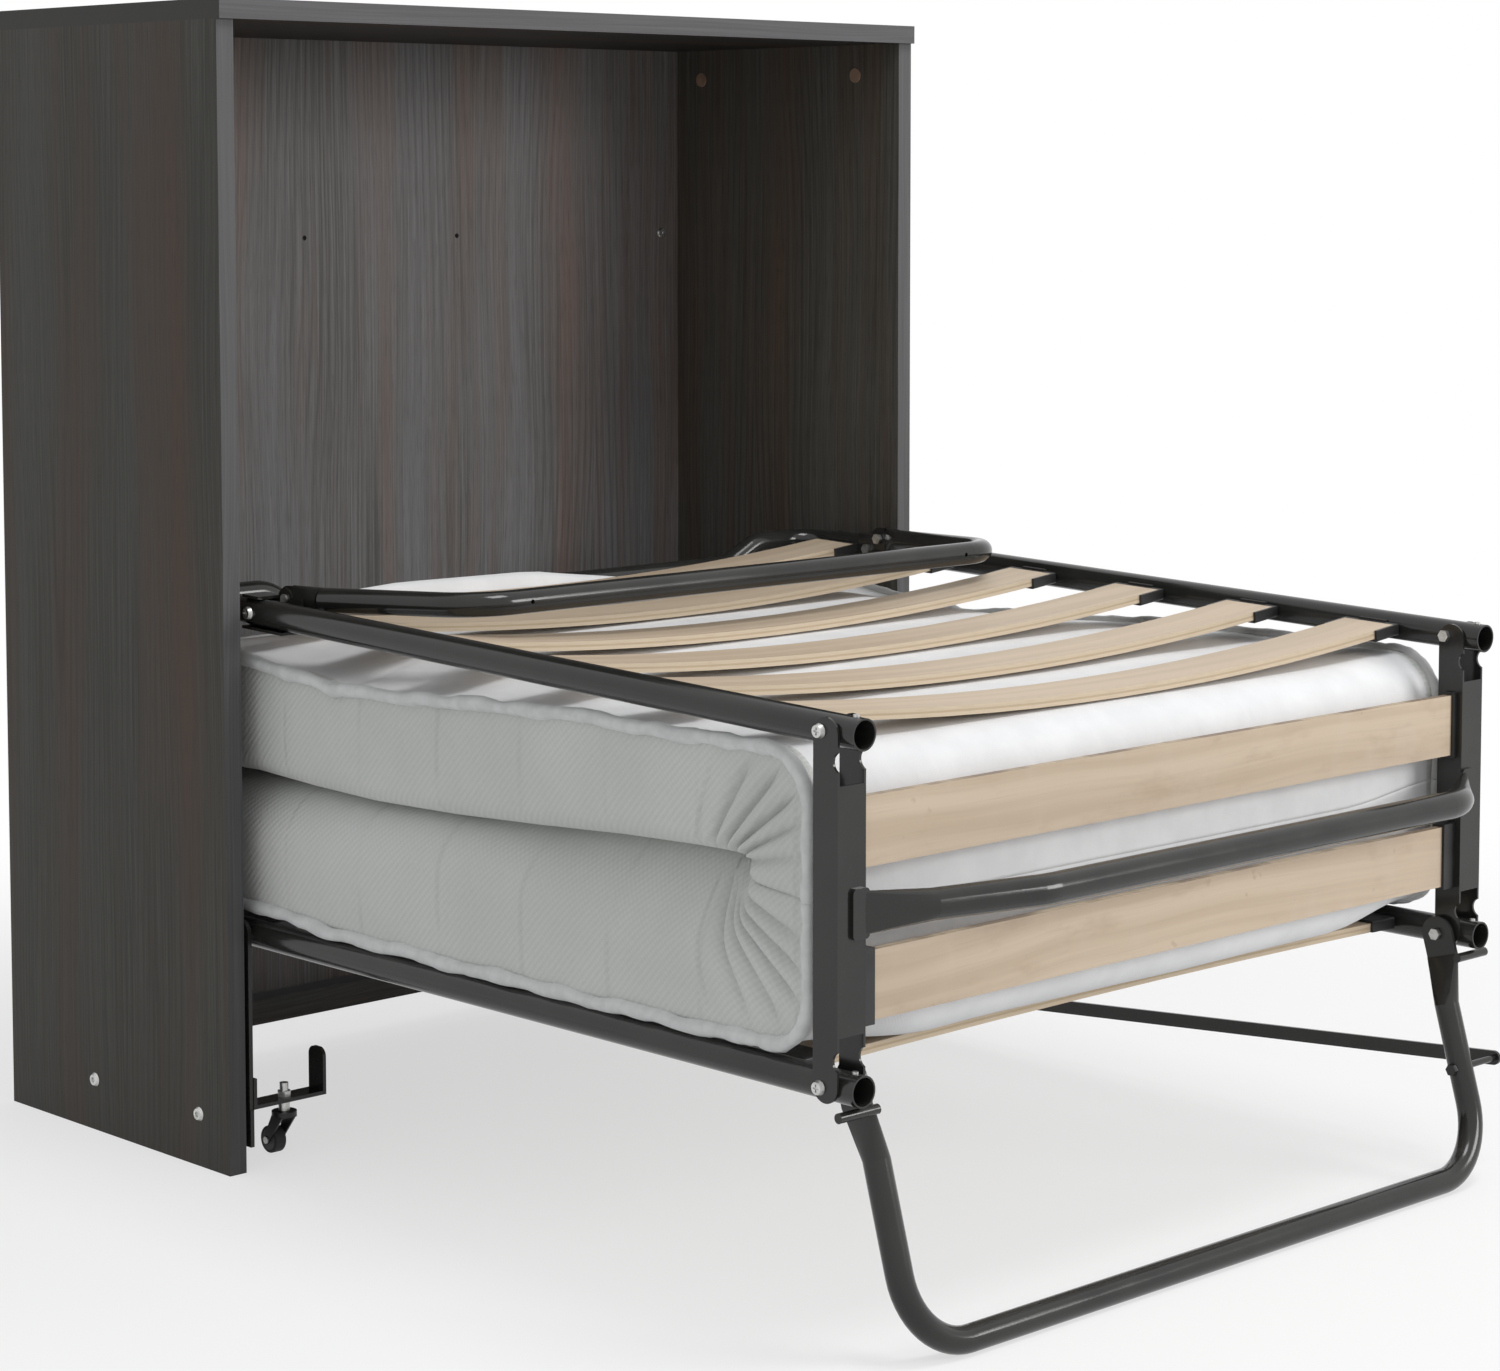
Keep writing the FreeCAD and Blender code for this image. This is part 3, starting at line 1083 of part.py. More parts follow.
def mattress_fold():
    """The stretch that wraps round from the lower layer to the upper one, mitred to both."""
    edge = MATTRESS_HALF_WIDTH
    full = edge - MATTRESS_EDGE_RUN
    stations = [(-edge, MATTRESS_EDGE_DRAW), (-edge + MATTRESS_EDGE_RUN / 3, MATTRESS_EDGE_DRAW / 4),
                (-full, 0.0), (full, 0.0),
                (edge - MATTRESS_EDGE_RUN / 3, MATTRESS_EDGE_DRAW / 4), (edge, MATTRESS_EDGE_DRAW)]
    fold = Part.makeLoft([fold_ring(x, draw) for x, draw in stations], True, True)
    fold = fold.common(ahead_of_mitre(MATTRESS_SIDE_LOW, 1.0, -MATTRESS_MITRE_GAP / 2))
    return fold.common(ahead_of_mitre(MATTRESS_SIDE_HIGH, -1.0, -MATTRESS_MITRE_GAP / 2))


# ---------------------------------------------------------------- assembly

def tilted(shape):
    """Upper section pieces are drawn level and then tilted about the upper hinge."""
    return turn_about(shape, HINGE_HIGH, UPPER_TILT_DEG)


def both_sides(shape):
    return [mirrored(shape), shape]


def paired(name, shape, nodes):
    for side_name, side in SIDES.items():
        nodes[name + "_" + side_name] = [on_side(shape, side)]


def cabinet_nodes(nodes):
    for side_name, side in SIDES.items():
        nodes["side_panel_" + side_name] = [on_side(side_panel(side_name), side)]
        nodes["pivot_bracket_" + side_name] = [on_side(pivot_bracket(side_name), side)]
    nodes["top_panel"] = [top_panel()]
    nodes["back_panel"] = [back_panel()]
    nodes["base_rail"] = [base_rail()]
    nodes["cam_covers"] = cam_covers()
    nodes["panel_bolts"] = at_panel_bolts(panel_bolt)
    nodes["bracket_spacers"] = at_panel_bolts(bracket_spacer)
    nodes["back_screws"] = [back_screw(place) for place in back_screw_places()]
    paired("caster_cradle", caster_cradle(), nodes)
    nodes["pivot_bolts"] = both_sides(pivot_bolt())
    nodes["caster_stems"] = both_sides(caster_stem())
    nodes["caster_nuts"] = both_sides(caster_nut())
    nodes["brace_pivot_pin"] = [brace_pivot_pin()]


def caster_nodes(nodes):
    paired("caster_fork", caster_fork(), nodes)
    paired("caster_axle", caster_axle(), nodes)
    paired("caster_hub", caster_hub(), nodes)
    paired("caster_tyre", caster_tyre(), nodes)


def lower_nodes(nodes):
    paired("lower_rail", lower_rail(), nodes)
    nodes["lower_cross_tube"] = [lower_cross_tube()]
    slats, caps = slats_and_caps(HINGE_LOW, LOWER_BOW, 1.0)
    nodes["lower_slats"] = slats
    nodes["lower_slat_caps"] = caps
    nut_face = LEG_PLATE_X - 2 * FLAT_HALF_THICK - SIDE_GAP
    nodes["lower_hinge_bolts"] = both_sides(hinge_bolt(HINGE_LOW, nut_face))
    nodes["lower_stub_rivets"] = both_sides(stub_rivet(HINGE_LOW))
    nodes["mattress_lower"] = [mattress_lower()]


def mid_nodes(nodes):
    paired("mid_post", mid_post(), nodes)
    slats = [mid_slat_at(rise) for rise in MID_SLAT_RISES]
    nodes["mid_slats"] = slats
    caps = []
    for rise, length, slat in zip(MID_SLAT_RISES, MID_CAP_LENGTHS, slats):
        caps += both_sides(mid_slat_cap(rise, length, slat))
    nodes["mid_slat_caps"] = caps
    nodes["mid_handle"] = [handle()]
    nodes["mattress_fold"] = [mattress_fold()]


def upper_nodes(nodes):
    paired("upper_rail", tilted(upper_rail()), nodes)
    nodes["upper_end_tube"] = [tilted(upper_end_tube())]
    slats, caps = slats_and_caps(HINGE_HIGH, -UPPER_BOW, -1.0)
    nodes["upper_slats"] = [tilted(slat) for slat in slats]
    nodes["upper_slat_caps"] = [tilted(cap) for cap in caps]
    nodes["upper_hinge_bolts"] = both_sides(tilted(hinge_bolt(HINGE_HIGH, INNER_FACE_X - SIDE_GAP)))
    nodes["upper_stub_rivets"] = both_sides(tilted(stub_rivet(HINGE_HIGH)))
    paired("leg_clip", tilted(leg_clip()), nodes)
    nodes["leg_clip_bolts"] = both_sides(tilted(clip_bolt()))
    nodes["upper_leg_bolts"] = both_sides(tilted(upper_leg_bolt()))
    nodes["mattress_upper"] = [mattress_upper()]
    nodes["upper_leg_tube"] = [tilted(upper_leg_level())]


def leg_nodes(nodes):
    leg = front_leg()
    nodes["front_leg_tube"] = [leg]
    nodes["front_leg_stops"] = both_sides(stop_rod(leg))
    nodes["brace_leg_stud"] = [brace_leg_stud()]
    nodes["brace_bar"] = [brace_bar()]
    nodes["brace_bolt"] = [brace_bolt()]


def front_reach():
    """Front-most point of the bed at rest: the handle or the leg's floor tube."""
    leg_y = HINGE_LOW[0] - (HINGE_LOW[1] - TUBE_R) * math.tan(math.radians(LEG_LEAN_DEG))
    return min(leg_y - TUBE_R, HANDLE_Y - HANDLE_R)


def main():
    os.makedirs("parts", exist_ok=True)
    nodes = {}
    cabinet_nodes(nodes)
    caster_nodes(nodes)
    lower_nodes(nodes)
    mid_nodes(nodes)
    upper_nodes(nodes)
    leg_nodes(nodes)
    shift = vec(0, -(front_reach() + CAB_DEPTH) / 2, 0)
    for name, solids in nodes.items():
        shape = solids[0] if len(solids) == 1 else Part.makeCompound(solids)
        shape.translate(shift)
        if not shape.isValid():
            print("not valid:", name)
        shape.exportStep("parts/" + name + ".step")
    print("nodes", len(nodes), "shift", round(shift.y, 3), "brace", brace_pivot_place())


main()
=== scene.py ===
import math

import bpy
import numpy as np
from mathutils import Matrix, Vector


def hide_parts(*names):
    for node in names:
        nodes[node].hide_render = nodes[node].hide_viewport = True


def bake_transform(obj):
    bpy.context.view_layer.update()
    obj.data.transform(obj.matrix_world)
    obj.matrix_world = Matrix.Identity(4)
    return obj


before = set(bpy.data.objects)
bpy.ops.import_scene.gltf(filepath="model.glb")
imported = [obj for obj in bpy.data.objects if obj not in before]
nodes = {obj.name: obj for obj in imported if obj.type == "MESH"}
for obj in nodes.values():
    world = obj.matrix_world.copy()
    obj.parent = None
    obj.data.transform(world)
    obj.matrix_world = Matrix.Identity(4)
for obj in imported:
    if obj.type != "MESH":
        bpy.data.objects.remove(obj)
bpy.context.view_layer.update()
scene = bpy.context.scene


# ---------------------------------------------------------------- materials
class Look:
    """A principled material and short calls that add nodes to it."""

    def __init__(self, name, **fixed):
        self.mat = bpy.data.materials.new(name)
        self.mat.use_nodes = True
        self.tree = self.mat.node_tree
        self.shader = self.tree.nodes["Principled BSDF"]
        self.finish(**fixed)
        self.coords = self.add("ShaderNodeTexCoord", out="Object")
        self.x, self.y, self.z = self.parts(self.coords)
        # the normal in the object's own space, so that it turns with the piece when it moves
        self.nx, self.ny, self.nz = self.parts(self.add("ShaderNodeTexCoord", out="Normal"))

    def add(self, kind, inputs=None, out=0, **props):
        node = self.tree.nodes.new(kind)
        for key, value in props.items():
            setattr(node, key, value)
        for key, value in (inputs or {}).items():
            self.feed(node.inputs[key], value)
        return node.outputs[out]

    def feed(self, socket, value):
        if isinstance(value, bpy.types.NodeSocket):
            self.tree.links.new(value, socket)
        elif isinstance(value, tuple) and len(value) == 3 and socket.type == "RGBA":
            socket.default_value = (*value, 1.0)
        else:
            socket.default_value = value

    def parts(self, vector):
        node = self.tree.nodes.new("ShaderNodeSeparateXYZ")
        self.tree.links.new(vector, node.inputs[0])
        return node.outputs

    def math(self, operation, a, b=0.0):
        return self.add("ShaderNodeMath", {0: a, 1: b}, operation=operation)

    def plus(self, a, b):
        return self.math("ADD", a, b)

    def minus(self, a, b):
        return self.math("SUBTRACT", a, b)

    def times(self, a, b):
        return self.math("MULTIPLY", a, b)

    def size(self, a):
        return self.math("ABSOLUTE", a)

    def waves(self, along, length):
        """A sine that repeats every length metres."""
        return self.math("SINE", self.times(along, 2.0 * math.pi / length))

    def grid(self, *axes):
        """Coordinates for a noise. An axis is a value, or a pair of a value and its scale."""
        axes = [self.times(*axis) if isinstance(axis, tuple) else axis for axis in axes]
        return self.add("ShaderNodeCombineXYZ", dict(enumerate(axes)))

    def noise(self, where, scale, detail=3.0, rough=0.5, distortion=0.0):
        return self.add("ShaderNodeTexNoise", {"Vector": where, "Scale": scale, "Detail": detail,
                                               "Roughness": rough, "Distortion": distortion})

    def span(self, value, low, high, to_low=0.0, to_high=1.0):
        return self.add("ShaderNodeMapRange", {0: value, 1: low, 2: high, 3: to_low, 4: to_high},
                        interpolation_type="SMOOTHSTEP")

    def mix(self, factor, a, b, kind="MIX"):
        return self.add("ShaderNodeMix", {0: factor, 6: a, 7: b}, out=2, data_type="RGBA", blend_type=kind)

    def over(self, colour, mask, amount, other):
        """Lay another colour over this one where mask is 1, at the given strength."""
        return self.mix(self.times(mask, amount), colour, other)

    def bump(self, height, strength, distance):
        return self.add("ShaderNodeBump", {"Height": height, "Strength": strength, "Distance": distance})

    def finish(self, **sockets):
        for key, value in sockets.items():
            self.feed(self.shader.inputs[key.replace("_", " ")], value)
        return self.mat


def laminate(name, panel, light, inward_painted_light=None):
    """Dark wood print of one kind of board. light scales the print's colours as painted light and shade: the
    same laminate is painted much lighter on the back panel and darker on the top panel and the side panels,
    standing in for how the light falls on each board. The last argument is painted light as well: how much
    lighter the faces turned to the inside of the cabinet are painted."""
    look = Look(name)

    # painted light and shade: the print's colours scaled by how much light falls on this board
    def tone(*rgb):
        return tuple(painted_light_share * c for painted_light_share, c in zip(light, rgb))

    # the axis of the grain, the two axes across it, and the part of the normal that tells the cut edges
    along, across, through, facing = {
        "side": (look.z, look.y, look.x, look.ny),
        "back": (look.z, look.x, look.y, look.nz),
        "top": (look.x, look.y, look.z, look.nz),
        "rail": (look.x, look.z, look.y, look.nz),
    }[panel]
    facing = look.size(facing)
    if panel == "top":
        facing = look.minus(1.0, facing)
    cross = look.plus(across, through)
    sway = look.noise(look.grid((cross, 3.5), (along, 1.3), 0.0), 1.6, 1.0)
    bent = look.plus(cross, look.times(look.minus(sway, 0.5), 0.025))

    # nested arches: the print cuts the growth rings of a slightly leaning trunk
    arch_width = 0.3226
    cell = look.math("FRACT", look.plus(look.times(bent, 3.1), 0.37))
    from_middle = look.minus(look.times(cell, arch_width), arch_width / 2)
    radius = look.math("SQRT", look.plus(look.times(from_middle, from_middle), 0.00012))
    rings = look.minus(look.times(radius, 110.0), look.times(along, 3.0))
    rings = look.plus(rings, look.times(sway, 3.0))
    ring_line = look.math("POWER", look.size(look.math("SINE", look.times(rings, math.pi))), 7.0)
    arch = look.noise(look.grid((cross, 5.0), (along, 1.2), 6.0), 1.0, 2.0)
    ring_line = look.times(ring_line, look.span(arch, 0.42, 0.62))

    streak = look.noise(look.grid((bent, 430.0), (along, 3.2), 0.0), 1.0, 5.0, 0.66)
    fibre = look.noise(look.grid((bent, 1250.0), (along, 30.0), 0.0), 1.0, 2.0, 0.55)
    broad = look.noise(look.grid((bent, 11.0), (along, 0.8), 3.0), 1.0, 4.0, 0.55)
    warm = look.noise(look.grid((bent, 17.0), (along, 0.9), 9.0), 1.0, 5.0, 0.6)
    colour = look.mix(look.span(streak, 0.30, 0.70), tone(0.040, 0.039, 0.034), tone(0.096, 0.095, 0.090))
    colour = look.over(colour, look.span(broad, 0.38, 0.74), 0.55, tone(0.104, 0.103, 0.102))
    colour = look.over(colour, look.span(warm, 0.42, 0.74), 0.80, tone(0.094, 0.060, 0.046))
    colour = look.over(colour, ring_line, 0.55, tone(0.040, 0.037, 0.035))
    colour = look.over(colour, look.span(fibre, 0.50, 0.74), 0.58, tone(0.036, 0.034, 0.031))
    # painted light: the faces turned to the inside of the cabinet are painted lighter than the outer faces
    if inward_painted_light:
        inward = look.math("LESS_THAN", look.times(look.nx, look.x), 0.0)
        painted_light_share = look.mix(inward, (1.0, 1.0, 1.0), (inward_painted_light, inward_painted_light, inward_painted_light))
        colour = look.mix(1.0, colour, painted_light_share, "MULTIPLY")

    # the cut edges have a plain band, darker at the ends to left and right
    edge = look.span(facing, 0.6, 0.9)
    band = look.mix(look.span(streak, 0.3, 0.7), (0.088, 0.087, 0.090), (0.124, 0.122, 0.126))
    band = look.mix(look.span(look.size(look.nx), 0.6, 0.9), band, (0.052, 0.051, 0.048))
    colour = look.mix(edge, colour, band)
    height = look.plus(look.times(fibre, 0.6), look.times(streak, 0.4))
    normal = look.bump(height, look.times(look.minus(1.0, edge), 0.22), 0.0005)
    return look.finish(Base_Color=colour, Roughness=look.span(streak, 0.2, 0.8, 0.46, 0.56), Normal=normal,
                       Specular_IOR_Level=0.16)


def paint():
    look = Look("frame_enamel")
    cloud = look.noise(look.coords, 14.0, 3.0)
    speck = look.noise(look.coords, 650.0, 2.0)
    peel = look.noise(look.coords, 240.0, 2.0, 0.4)
    colour = look.mix(look.span(cloud, 0.3, 0.7), (0.019, 0.019, 0.018), (0.026, 0.026, 0.024))
    colour = look.over(colour, look.span(speck, 0.62, 0.74), 0.18, (0.06, 0.06, 0.06))
    return look.finish(Base_Color=colour, Roughness=look.span(cloud, 0.3, 0.7, 0.12, 0.19),
                       Normal=look.bump(peel, 0.06, 0.0004), Specular_IOR_Level=0.42)


# slats per metre along the axis of their width, so that each slat has a number, and a ply's thickness
SLATS_PER_METRE = {"y": 7.2464, "z": 8.4}
PLY = 0.0025


def birch(name, height_in_slat, width_axis, stained=False):
    """Layered birch. height_in_slat(look) gives how far through the slat a place is, in metres."""
    look = Look(name)
    across, facing = {"y": (look.y, look.ny), "z": (look.z, look.nz)}[width_axis]
    depth = height_in_slat(look)
    slat = look.math("FLOOR", look.times(look.plus(across, 5.0), SLATS_PER_METRE[width_axis]))
    sway = look.noise(look.grid((look.x, 1.6), (across, 4.0), slat), 1.3, 2.0)
    bent = look.plus(across, look.times(sway, 0.05))
    fibre = look.noise(look.grid((look.x, 9.0), (bent, 420.0), slat), 1.0, 4.0, 0.6)
    bands = look.noise(look.grid((look.x, 1.2), (bent, 52.0), slat), 1.0, 3.0, 0.55)
    flame = look.noise(look.grid((look.x, 30.0), (across, 14.0), slat), 1.0, 3.0, 0.5)
    tone = look.noise(look.grid(slat, (look.x, 0.9), 4.0), 1.3, 2.0)
    colour = look.mix(look.span(bands, 0.32, 0.68), (0.545, 0.430, 0.312), (0.640, 0.520, 0.392))
    colour = look.over(colour, look.span(fibre, 0.50, 0.78), 0.30, (0.450, 0.335, 0.235))
    colour = look.over(colour, look.span(flame, 0.50, 0.80), 0.18, (0.690, 0.600, 0.490))
    colour = look.over(colour, look.span(tone, 0.45, 0.70), 0.20, (0.490, 0.390, 0.300))

    # the long edges show the plies
    edge_face = look.span(look.size(facing), 0.55, 0.80)
    layer = look.span(look.math("PINGPONG", look.plus(depth, 0.0010), PLY), 0.0006, 0.0012)
    grain = look.noise(look.grid((look.x, 40.0), (depth, 900.0), slat), 1.0, 3.0)
    plies = look.mix(layer, (0.520, 0.405, 0.270), (0.640, 0.525, 0.385))
    plies = look.over(plies, look.span(grain, 0.45, 0.75), 0.3, (0.44, 0.31, 0.19))
    colour = look.mix(edge_face, colour, plies)
    if stained:
        blotch = look.noise(look.grid((look.x, 14.0), look.y, (look.z, 40.0)), 1.0, 4.0, 0.6)
        spots = look.noise(look.grid((look.x, 60.0), look.y, (look.z, 60.0)), 1.0, 2.0)
        dirt = look.math("MAXIMUM", look.times(look.span(blotch, 0.54, 0.75), 0.34),
                         look.times(look.span(spots, 0.70, 0.80), 0.5))
        colour = look.mix(dirt, colour, (0.40, 0.29, 0.20))
        rim = look.times(look.span(look.size(look.nz), 0.4, 0.7), look.span(blotch, 0.40, 0.60, 0.25, 0.85))
        colour = look.mix(rim, colour, (0.17, 0.12, 0.085))
    height = look.plus(look.times(fibre, 0.7), look.times(layer, look.times(edge_face, 0.5)))
    return look.finish(Base_Color=colour, Roughness=look.span(bands, 0.2, 0.8, 0.44, 0.58),
                       Normal=look.bump(height, 0.18, 0.0006), Specular_IOR_Level=0.35)


# the slats' underside: the height of its ends at start_y, its slope towards the back, and how much
# higher the middle is than the ends
SLAT_HALF = 0.378
UPPER_SLATS = {"start_z": 0.4807, "start_y": -0.4526, "slope": 0.03143, "bow": -0.020}
LOWER_SLATS = {"start_z": 0.2090, "start_y": -0.4525, "slope": 0.0, "bow": 0.004}
MID_SLATS_FRONT = -0.5235


def above_bowed(start_z, start_y, slope, bow):
    """Height above the underside of a row of bowed slats."""
    def height(look):
        square = look.times(look.times(look.x, look.x), -bow / SLAT_HALF ** 2)
        line = look.plus(look.times(look.minus(look.y, start_y), slope), start_z + bow)
        return look.minus(look.z, look.plus(line, square))
    return height


def plastic(name, colour, rough, grain=500.0, strength=0.12, spec=0.45):
    look = Look(name)
    fine = look.noise(look.coords, grain, 2.0)
    cloud = look.noise(look.coords, 30.0, 3.0)
    lighter = tuple(c * 1.35 + 0.004 for c in colour)
    tone = look.mix(look.span(cloud, 0.35, 0.65), colour, lighter)
    return look.finish(Base_Color=tone, Roughness=look.span(fine, 0.3, 0.7, rough - 0.05, rough + 0.06),
                       Normal=look.bump(fine, strength, 0.0004), Specular_IOR_Level=spec)


def zinc():
    look = Look("zinc_plate", Metallic=1.0)
    cloud = look.noise(look.coords, 180.0, 4.0)
    scratch = look.noise(look.grid((look.y, 300.0), (look.z, 3000.0), look.x), 1.0, 2.0)
    tone = look.mix(look.span(cloud, 0.35, 0.65), (0.52, 0.52, 0.50), (0.68, 0.68, 0.67))
    rough = look.plus(look.span(cloud, 0.3, 0.7, 0.28, 0.42), look.times(scratch, 0.08))
    return look.finish(Base_Color=tone, Roughness=rough, Normal=look.bump(scratch, 0.08, 0.0002))


# the stitched lines across the border: their spacing, and how far in front of the middle one of them is
STITCH_PITCH, STITCH_SHIFT = 0.1082, 0.0376


def border_fabric():
    look = Look("mattress_border", Sheen_Weight=0.12, Sheen_Roughness=0.5)
    wander = look.noise(look.coords, 70.0, 2.0)
    rib_wave = look.waves(look.plus(look.y, look.z), 0.0072)
    rib_wave = look.times(rib_wave, look.span(wander, 0.25, 0.6, 0.35, 1.0))
    cell = look.waves(look.minus(look.y, look.z), 0.0050)
    knit = look.plus(look.times(rib_wave, 0.5), look.times(cell, 0.22))
    fuzz = look.noise(look.coords, 1400.0, 2.0)
    near = look.math("PINGPONG", look.plus(look.y, STITCH_SHIFT + 10 * STITCH_PITCH), STITCH_PITCH / 2)
    seam_fade = look.span(look.noise(look.coords, 17.0, 2.0), 0.35, 0.62, 0.15, 1.0)
    seam = look.times(look.span(near, 0.0, 0.0040, 1.0, 0.0), seam_fade)
    cloud = look.noise(look.coords, 9.0, 3.0)
    colour = look.mix(look.span(cloud, 0.3, 0.7), (0.700, 0.715, 0.690), (0.760, 0.770, 0.750))
    colour = look.mix(look.span(knit, -0.6, 0.7, 0.26, 0.0), colour, (0.50, 0.52, 0.48))
    colour = look.over(colour, seam, 0.16, (0.42, 0.43, 0.40))
    height = look.plus(look.times(knit, 0.5), look.times(fuzz, 0.25))
    height = look.minus(height, look.times(seam, 1.5))
    return look.finish(Base_Color=colour, Roughness=look.span(fuzz, 0.3, 0.7, 0.80, 0.95),
                       Normal=look.bump(height, 0.55, 0.0011), Specular_IOR_Level=0.22)


def cover_fabric():
    look = Look("mattress_cover", Sheen_Weight=0.15, Sheen_Roughness=0.45)
    knit = look.times(look.waves(look.x, 0.0024), look.waves(look.plus(look.y, look.z), 0.0021))
    soft = look.noise(look.coords, 22.0, 4.0, 0.55)
    crease = look.noise(look.grid((look.x, 9.0), (look.y, 2.4), (look.z, 4.0)), 2.2, 3.0, 0.5, 0.6)
    colour = look.mix(look.span(soft, 0.3, 0.7), (0.770, 0.775, 0.785), (0.835, 0.840, 0.850))
    height = look.plus(look.times(knit, 0.10), look.times(crease, 1.8))
    return look.finish(Base_Color=colour, Roughness=look.span(soft, 0.3, 0.7, 0.78, 0.92),
                       Normal=look.bump(height, 0.35, 0.0014), Specular_IOR_Level=0.25)


def piping_fabric():
    look = Look("mattress_piping", Sheen_Weight=0.10, Sheen_Roughness=0.5)
    weave = look.noise(look.coords, 900.0, 2.0)
    pucker = look.noise(look.grid((look.y, 90.0), (look.z, 90.0), look.x), 1.0, 3.0)
    colour = look.mix(look.span(pucker, 0.3, 0.7), (0.720, 0.730, 0.725), (0.810, 0.820, 0.815))
    height = look.plus(look.times(weave, 0.3), pucker)
    return look.finish(Base_Color=colour, Roughness=look.span(weave, 0.3, 0.7, 0.75, 0.92),
                       Normal=look.bump(height, 0.35, 0.0012), Specular_IOR_Level=0.3)


def dress(material, *names):
    for name in names:
        slots = nodes[name].data.materials
        slots.clear()
        slots.append(material)


def pair(*names):
    return [name + side for name in names for side in ("_left", "_right")]


# painted light and shade: the light values scale one laminate per board (back lighter, top and sides darker),
# and the side panels' inner faces are painted lighter still by the last value
dress(laminate("laminate_side", "side", (0.87, 0.86, 0.81), 1.78), *pair("side_panel"))
dress(laminate("laminate_back", "back", (2.36, 2.36, 2.48)), "back_panel")
dress(laminate("laminate_top", "top", (0.6, 0.6, 0.6)), "top_panel")
dress(laminate("laminate_rail", "rail", (1.0, 1.0, 1.0)), "base_rail")
dress(paint(), *pair("lower_rail", "upper_rail", "mid_post", "leg_clip", "pivot_bracket", "caster_cradle"),
      "front_leg_tube", "front_leg_stops", "mid_handle", "upper_leg_tube", "upper_end_tube", "lower_cross_tube",
      "brace_bar", "brace_leg_stud")
dress(zinc(), "lower_hinge_bolts", "upper_hinge_bolts", "upper_leg_bolts", "leg_clip_bolts", "pivot_bolts",
      "panel_bolts", "back_screws", "brace_bolt", "brace_pivot_pin", "caster_stems", "caster_nuts",
      "lower_stub_rivets", "upper_stub_rivets", *pair("caster_axle"))
dress(plastic("holder_black", (0.014, 0.014, 0.014), 0.42), "lower_slat_caps", "mid_slat_caps",
      "upper_slat_caps", *pair("caster_fork"))
dress(plastic("cover_brown", (0.300, 0.200, 0.145), 0.4), "cam_covers")
dress(plastic("spacer_grey", (0.080, 0.080, 0.084), 0.5), "bracket_spacers", *pair("caster_hub"))
dress(plastic("tyre_grey", (0.030, 0.030, 0.032), 0.62, 260.0, 0.2, 0.3), *pair("caster_tyre"))
dress(birch("birch_upper", above_bowed(**UPPER_SLATS), "y"), "upper_slats")
dress(birch("birch_lower", above_bowed(**LOWER_SLATS), "y"), "lower_slats")
dress(birch("birch_mid", lambda look: look.minus(look.y, MID_SLATS_FRONT), "z", stained=True), "mid_slats")


# ---------------------------------------------------------------- mattress
# The folded mattress is one thick sheet bent round at the front. A place in it is given by how far
# it is along the bend, how far across (x) and how deep from the inside of the fold to the outside.
HALF = 0.400
REAR_LOW, REAR_HIGH = 0.3455, 0.3605
FRONT = -0.4925
# where the flat halves meet the turn at the front, on the outside and on the inside of the bend
TURN_OUT, TURN_IN = -0.360, -0.345


def smooth(t):
    """0 to 1 with a soft start and end, as t goes from 0 to 1."""
    t = np.clip(t, 0.0, 1.0)
    return t * t * (3.0 - 2.0 * t)


def wave(seed, t, scale):
    """Smooth wander between about -1 and 1 along t, from a few fixed sines."""
    rng = np.random.default_rng(seed)
    total = np.zeros_like(np.asarray(t, float))
    for k in range(5):
        rate = scale * (0.6 + 0.9 * k + rng.random())
        total = total + np.sin(t * rate + rng.random() * 6.283) / (1.0 + 0.6 * k)
    return total / 2.2


def arc(cy, cz, radius, a0, a1, count=14):
    """Points (y, z) of an arc between two angles in degrees."""
    angles = np.radians(np.linspace(a0, a1, count))
    return [(cy + radius * math.cos(a), cz + radius * math.sin(a)) for a in angles]


def resample(points, count):
    """Points at equal steps along the line through the given ones."""
    points = np.array(points, float)
    run = np.concatenate([[0.0], np.cumsum(np.linalg.norm(np.diff(points, axis=0), axis=1))])
    at = np.linspace(0.0, run[-1], count)
    return np.stack([np.interp(at, run, points[:, 0]), np.interp(at, run, points[:, 1])], 1)


FLAT_COUNT, TURN_COUNT = 150, 170


def bend(low, turn, high):
    """One curve round the fold in (y, z), from the back of the lower half to the back of the upper half."""
    low, turn, high = resample(low, FLAT_COUNT), resample(turn, TURN_COUNT), resample(high, FLAT_COUNT)
    return np.concatenate([low[:-1], turn, high[1:]])


# outside of the bend on the side border, where the piping runs
OUT_SIDE = bend(
    [(REAR_LOW, 0.2395), (0.242, 0.2395), (0.186, 0.2365), (0.120, 0.2325), (0.041, 0.2310), (-0.080, 0.2310),
     (-0.197, 0.2305), (-0.295, 0.2312), (TURN_OUT, 0.2318)],
    [(TURN_OUT, 0.2318), (-0.4430, 0.2320), *arc(-0.4430, 0.2740, 0.0420, 270, 180), (-0.4850, 0.345),
     *arc(-0.4400, 0.4180, 0.0450, 180, 90), (-0.400, 0.4625), (TURN_OUT, 0.4620)],
    [(TURN_OUT, 0.4620), (-0.250, 0.4625), (-0.147, 0.4610), (-0.042, 0.4550), (0.013, 0.4530), (0.060, 0.4515),
     (0.092, 0.4500), (0.106, 0.4475), (0.125, 0.4535), (0.156, 0.4570), (0.200, 0.4580), (0.241, 0.4640),
     (REAR_HIGH, 0.4640)])
# outside of the bend along the middle
OUT_MID = bend(
    [(REAR_LOW, 0.2248), (TURN_OUT, 0.2222)],
    [(TURN_OUT, 0.2222), (-0.4625, 0.2222), *arc(-0.4625, 0.2522, 0.0300, 270, 180), (FRONT, 0.345),
     *arc(-0.4525, 0.4190, 0.0400, 180, 90), (-0.400, 0.4603), (TURN_OUT, 0.4618)],
    [(TURN_OUT, 0.4618), (0.10, 0.4762), (0.20, 0.4765), (0.262, 0.4708), (REAR_HIGH, 0.4700)])
